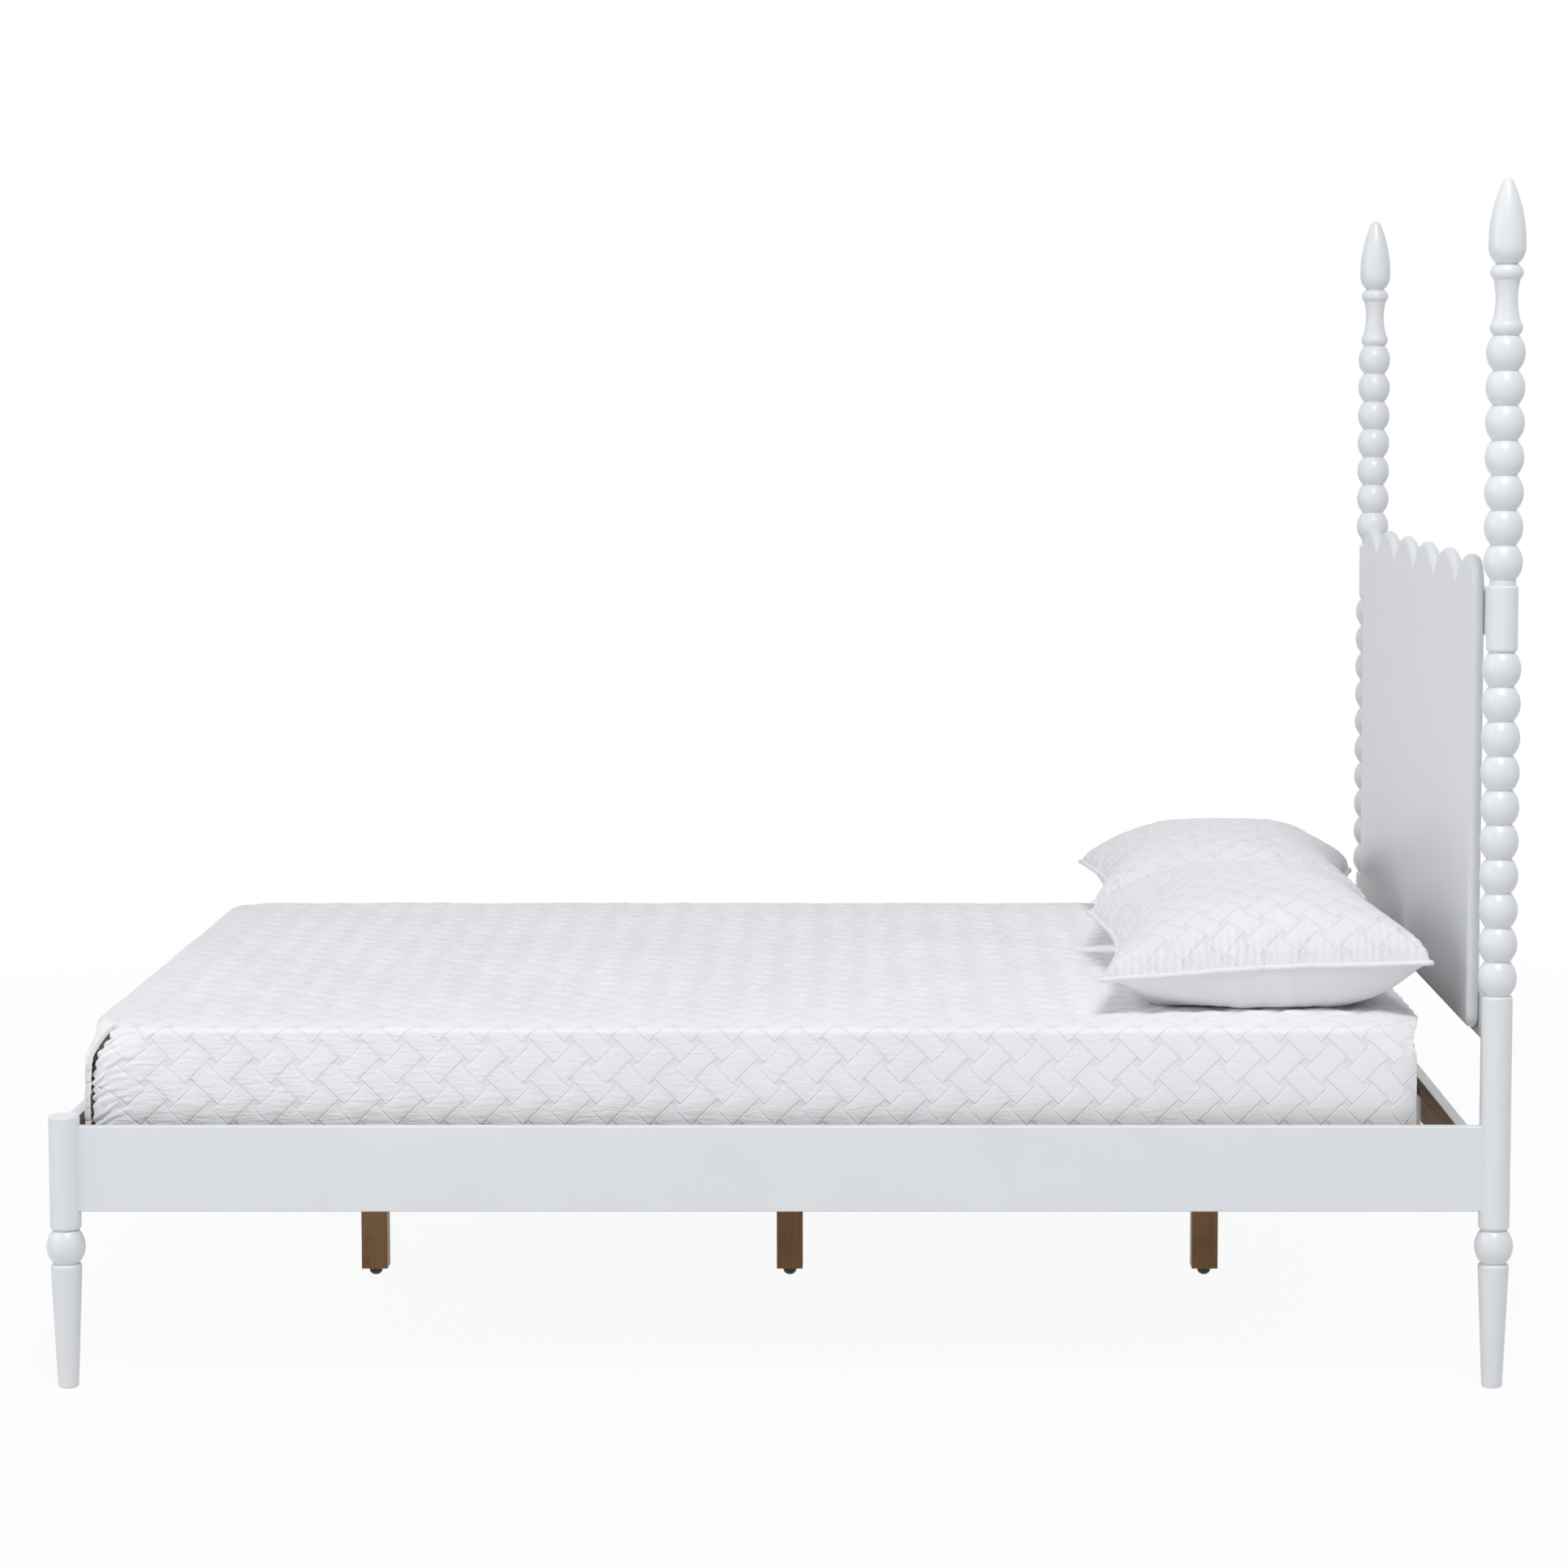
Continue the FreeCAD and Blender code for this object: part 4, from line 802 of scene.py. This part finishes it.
def mattress_skin():
    """Rings from the middle of the top, round the edge and down the sides, and under the bottom."""
    fall = mattress_run - UNDER_DROP - INNER_CORNER
    shares = np.concatenate([np.linspace(0, UPPER_SHARE, UPPER_RINGS), np.linspace(UPPER_SHARE, 1, LOWER_RINGS)[1:]])
    rings = [under_cloth(run) for run in (*TOP_RUNS, *(INNER_CORNER + share * fall for share in shares))]
    lowest = rings[-1]
    lowest[:, 2] = mattress_low[2] + UNDER_DROP
    outward = np.sign(lowest - lowest.mean(0)) * (1, 1, 0)
    rings += [lowest - outward * inset - (0, 0, below) for inset, below in UNDER_RINGS]
    here = np.arange(len(rings) * len(lowest)).reshape(len(rings), -1)
    around = np.roll(here, -1, 1)
    sides = np.stack([here[:-1], here[1:], around[1:], around[:-1]], -1).reshape(-1, 4).tolist()
    return np.concatenate(rings) * MM, [here[0].tolist()] + sides + [here[-1][::-1].tolist()]


mattress = smooth_piece("mattress_in_ticking", *mattress_skin(), [ticking])
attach(mattress, "mattress")
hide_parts("mattress")
tape_runs = {"top_tape": np.interp(EDGE_WIDTH - TOP_TAPE_INSET, side_curve[1], side_curve[0]),
             "bottom_tape": mattress_run - BOTTOM_TAPE_RISE}
for tape_name, run in tape_runs.items():
    tape = smooth_piece(f"mattress_{tape_name}", *tube(under_cloth(run) * MM, TAPE_RADIUS * MM), [ticking])
    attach(tape, "mattress")
print("mattress:", len(mattress.data.polygons), "faces")

# %% [markdown]
# ## The pillows
# Each pillow is a sham sewn from two flat pieces, a quilted top and a plain back, with a piped seam between them, and
# then stuffed. That is also the best way to make it: two flat sheets that share their rim, blown up by a cloth
# simulation until they hold the stuffing's volume. The rim then draws in between the corners by itself, and the corners
# stay behind as ears. A real pillow sinks a little under its weight, so the shape is afterwards set down: its seam goes
# to a third of its height, and its underside is flattened where it rests on the coverlet. These lengths are in metres.

# %% Sew and fill a sham
SHAM_LENGTH, SHAM_DEPTH, SHAM_SPACING = 0.690, 0.512, 0.008
SHAM_START, SHAM_VOLUME, FILL_FRAMES = 0.03, 0.0285, 26
STUFFING = {"quality": 5, "mass": 0.1, "compression_stiffness": 20, "tension_stiffness": 20, "shear_stiffness": 6,
            "bending_stiffness": 0.4, "use_pressure": True, "use_pressure_volume": True, "target_volume": SHAM_VOLUME,
            "uniform_pressure_force": 8}
across, along = (int(round(size / SHAM_SPACING)) + 1 for size in (SHAM_DEPTH, SHAM_LENGTH))
sham_size = np.array((SHAM_DEPTH, SHAM_LENGTH))


def sewn_sham():
    """Two flat panels on one rim: points, faces, the flat place of each point, and the rim's points in order."""
    x, y = np.meshgrid(np.linspace(-0.5, 0.5, across) * SHAM_DEPTH, np.linspace(-0.5, 0.5, along) * SHAM_LENGTH,
                       indexing="ij")
    lens = SHAM_START * np.sqrt((1 - (2 * x / SHAM_DEPTH) ** 2) * (1 - (2 * y / SHAM_LENGTH) ** 2))
    top = np.arange(across * along).reshape(across, along)
    inner = np.zeros(top.shape, bool)
    inner[1:-1, 1:-1] = True
    back = top.copy()
    back[inner] = top.size + np.arange(inner.sum())
    points = np.concatenate([np.stack([x, y, lens], -1).reshape(-1, 3), np.stack([x, y, -lens], -1)[inner]])
    front_faces, back_faces = (cells(n).reshape(-1, 4) for n in (top, back))
    rim = np.concatenate([top[:-1, 0], top[-1, :-1], top[:0:-1, -1], top[0, :0:-1]])
    return points, np.concatenate([front_faces, back_faces[:, ::-1]]), points[:, :2].copy(), rim


def fill_sham(points, faces):
    """Blows the sewn panels up to the stuffing's volume and returns the points."""
    sham = new_piece("sham_being_filled", points.tolist(), faces.tolist())
    cloth = sham.modifiers.new("stuffing", "CLOTH")
    for setting, value in STUFFING.items():
        setattr(cloth.settings, setting, value)
    cloth.settings.effector_weights.gravity = 0
    cloth.point_cache.frame_start, cloth.point_cache.frame_end = 1, FILL_FRAMES
    for number in range(1, FILL_FRAMES + 1):
        scene.frame_set(number)
    filled = sham.evaluated_get(bpy.context.evaluated_depsgraph_get())
    result = np.zeros(len(points) * 3, np.float32)
    filled.data.vertices.foreach_get("co", result)
    bpy.data.objects.remove(sham)
    scene.frame_set(1)
    return result.reshape(-1, 3).astype(float)


def evened(points):
    """Takes out the chance folds of the simulation: the mean of the shape and its mirror images."""
    halves = []
    for part, shape in ((points[:across * along], (across, along, 3)),
                        (points[across * along:], (across - 2, along - 2, 3))):
        part = part.reshape(shape)
        part = (part + part[::-1] * (-1, 1, 1)) / 2
        halves.append(((part + part[:, ::-1] * (1, -1, 1)) / 2).reshape(-1, 3))
    return np.concatenate(halves)


sham_points, sham_faces, sham_flat, sham_rim = sewn_sham()
filled_points = evened(fill_sham(sham_points, sham_faces))
print("filled sham, metres:", (filled_points.max(0) - filled_points.min(0)).round(3))

# %% [markdown]
# ## Set the pillows down
# A filled sham is fitted into the measured box of its pillow. Its quilted top is stiffer than the simulated cloth, so
# its edges draw in less: part of the flat outline is mixed back in. No pillow lies level, so each of its four ears gets
# its own small move. The underside is a little deeper than the room it has, and what would sink into the bed is pressed
# flat.

# %% Pillow shapes
SEAM_SHARE, STRAIGHT_SHARE = 0.34, 0.48
UNDER_FULLNESS, UNDER_ROUNDING, TOP_FULLNESS, HEAD_FULLNESS = 1.5, 1.7, 0.85, 0.2
FOOT_EAR_POWER, HEAD_EAR_POWER, EAR_SHARE = 2.0, 4.5, 0.95


def settled(low, high, ears, sag):
    """Fits the filled sham into a box and sets it down: ears holds its corners' moves, sag lowers the crest."""
    p = filled_points * ((high - low) / (filled_points.max(0) - filled_points.min(0)))
    outline = sham_flat * (high - low)[:2] / sham_size
    p[:, :2] += STRAIGHT_SHARE * (outline - p[:, :2])
    top = np.clip(p[:, 2], 0, None) / p[:, 2].max()
    under = np.clip(-p[:, 2], 0, None) / -p[:, 2].min()
    tall = high[2] - low[2]
    s, t = (sham_flat / (sham_size / 2)).T
    # It leans on the headboard, so its head side is fuller, and its ears are flat below
    fullness = TOP_FULLNESS - HEAD_FULLNESS * (1 + s) / 2
    flat_ears = 1 - EAR_SHARE * np.abs(s * t) ** np.where(s < 0, FOOT_EAR_POWER, HEAD_EAR_POWER)
    sink = tall * SEAM_SHARE * UNDER_FULLNESS * (1 - (1 - under) ** UNDER_ROUNDING) * flat_ears
    p[:, 2] = low[2] + tall * SEAM_SHARE + (tall * (1 - SEAM_SHARE) - sag) * top ** fullness - sink
    p[:, :2] += (low[:2] + high[:2]) / 2
    for (way_s, way_t), move in ears.items():
        p += ((1 + way_s * s) * (1 + way_t * t) / 4)[:, None] * np.array(move) * MM
    p[:, 2] = np.maximum(p[:, 2], low[2])
    return p


def spread(panel, u, v):
    """Places on a simulated panel for points of its flat cloth, by smooth cubic steps between the panel's points."""
    near, shares = [], []
    for way, size, count in ((u, SHAM_DEPTH / MM, across), (v, SHAM_LENGTH / MM, along)):
        step = (way / size + 0.5) * (count - 1)
        cell = np.clip(step.astype(int), 0, count - 2)
        t = step - cell
        shares.append(np.stack([-t + 2 * t ** 2 - t ** 3, 2 - 5 * t ** 2 + 3 * t ** 3, t + 4 * t ** 2 - 3 * t ** 3,
                                t ** 3 - t ** 2], -1) / 2)
        near.append(np.clip(cell[:, None] + np.arange(-1, 3), 0, count - 1))
    around = panel[near[0][:, :, None], near[1][:, None, :]]
    return np.einsum("ni,nj,nijk->nk", *shares, around)


print("seam of the pillows, share of their height:", SEAM_SHARE)

# %% [markdown]
# ## Quilt the shams
# The simulated panels are smooth and their mesh runs straight, so the quilting gets a mesh of its own, the same weave
# as on the coverlet, cut to the sham's rectangle. Each of its points finds its place on the panel, and is then raised
# by the puffs, by the slack of the cloth, and by the puckers that the piped seam gathers, all in millimetres again. The
# back takes the same mesh with a few slow folds in place of the quilting, so both meet point by point in the seam.

# %% Sham cloth
SHAM_LINES = (0.0, 1.1, 2.2, 4.8, 7.5, 11.8, 16.0, 20.2, 24.5, 27.2, 29.8, 30.9, 32.0, 35.7, 39.3)
SEAM_PUCKER, SEAM_STEP, SEAM_REACH, SEAM_WANDER, SEAM_RUN = 2.2, 12.5, 42.0, 2.4, 70.0
SLACK, SLACK_RUN, SLACK_INSET = 3.0, 240.0, 120.0
SHAM_PUFF, SHAM_RIPPLE, SHAM_RUN, PUFF_INSET, RIM_INSET = 1.2, 0.6, 30.0, 30.0, 9.0
BACK_FOLD, BACK_RUN, BACK_STRETCH = 4.0, 90.0, 0.4
TAUT_MIDDLE, TAUT_RUN = 0.7, 60.0
PIPING_RADIUS, FACING_STEP = 4.0, 2.0
sham_half = sham_size / 2 / MM
quilt_flat, quilt_faces = taken(weave_sheet(-sham_half, sham_half, SHAM_LINES))
from_rim = np.min(sham_half - np.abs(quilt_flat), 1)
inner = from_rim > CUT_MERGE
back_number = np.where(inner, len(quilt_flat) + np.cumsum(inner) - 1, np.arange(len(quilt_flat)))
quilt_back = [back_number[face[::-1]].tolist() for face in quilt_faces]


def raised(panel, seed):
    """Places of the quilted top on a panel."""
    u, v = quilt_flat.T
    out = facing(lambda u, v: spread(panel, u, v), u, v, FACING_STEP)
    from_side, from_end = (sham_half - np.abs(quilt_flat)).T
    along_seam = np.where(from_end < from_side, u, v)
    folds = np.sin(2 * math.pi * along_seam / SEAM_STEP + SEAM_WANDER * ripple(u, v, SEAM_RUN, seed))
    lift = SEAM_PUCKER * folds * np.exp(-from_rim / SEAM_REACH)
    lift += SLACK * ripple(u, v, SLACK_RUN, seed + 1) * ease(from_rim, SLACK_INSET)
    lift += (SHAM_PUFF * puff(u, v) + SHAM_RIPPLE * ripple(u, v, SHAM_RUN, seed + 2)) * ease(from_rim, PUFF_INSET)
    lift *= ease(from_rim, RIM_INSET)
    return spread(panel, u, v) + out * lift[:, None] * MM


print("sham cloth:", len(quilt_flat), "points")


# %% Make the pillows
def make_pillow(name, node, body, ears, sag, seed):
    """One pillow: its quilted top, plain back and piped seam."""
    low, high = (np.array(c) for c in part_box(node))
    placed = settled(low, high, ears, sag)
    top = placed[:across * along].reshape(across, along, 3)
    back = top.copy()
    back[1:-1, 1:-1] = placed[across * along:].reshape(across - 2, along - 2, 3)
    back_u, back_v = quilt_flat[inner].T
    under = spread(back, back_u, back_v)
    folds = ripple(BACK_STRETCH * back_u, back_v, BACK_RUN, seed + 3) * ease(from_rim[inner], BACK_RUN)
    under[:, 2] = np.maximum(under[:, 2] + BACK_FOLD * MM * folds, low[2])
    taut = TAUT_MIDDLE * (1 - np.exp(-np.concatenate([from_rim, from_rim[inner]]) / TAUT_RUN))
    whole = smooth_piece(name, np.concatenate([raised(top, seed), under]), quilt_faces + quilt_back,
                         [sham_cotton, back_cotton_with_painted_shade], np.concatenate([quilt_flat, quilt_flat[inner]]), taut)
    on_back = np.arange(len(whole.data.polygons)) >= len(quilt_faces)
    whole.data.polygons.foreach_set("material_index", on_back.astype(np.int32))
    piping = smooth_piece(f"{name}_piping", *tube(placed[sham_rim], PIPING_RADIUS * MM), [piping_cotton])
    for piece in (whole, piping):
        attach(piece, body)
    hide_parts(node)
    return whole


FOOT, HEAD, NEAR, FAR = -1, 1, -1, 1
# Sags of the crests in metres, and moves of the ears in millimetres
NEAR_SAG, FAR_SAG = 0.006, 0.010
near_ears = {(FOOT, NEAR): (0, 0, -11), (HEAD, NEAR): (0, 0, 14), (FOOT, FAR): (15, 0, 6), (HEAD, FAR): (-18, 0, 8)}
far_ears = {(FOOT, NEAR): (-12, 0, 14), (HEAD, NEAR): (-38, 0, -4), (FOOT, FAR): (0, 0, 8), (HEAD, FAR): (0, 0, -7)}
for pillow in (make_pillow("pillow_sham_near", "pillow_near", "near_pillow", near_ears, NEAR_SAG, seed=11),
               make_pillow("pillow_sham_far", "pillow_far", "far_pillow", far_ears, FAR_SAG, seed=23)):
    print(pillow.name, "has", len(pillow.data.polygons), "faces")
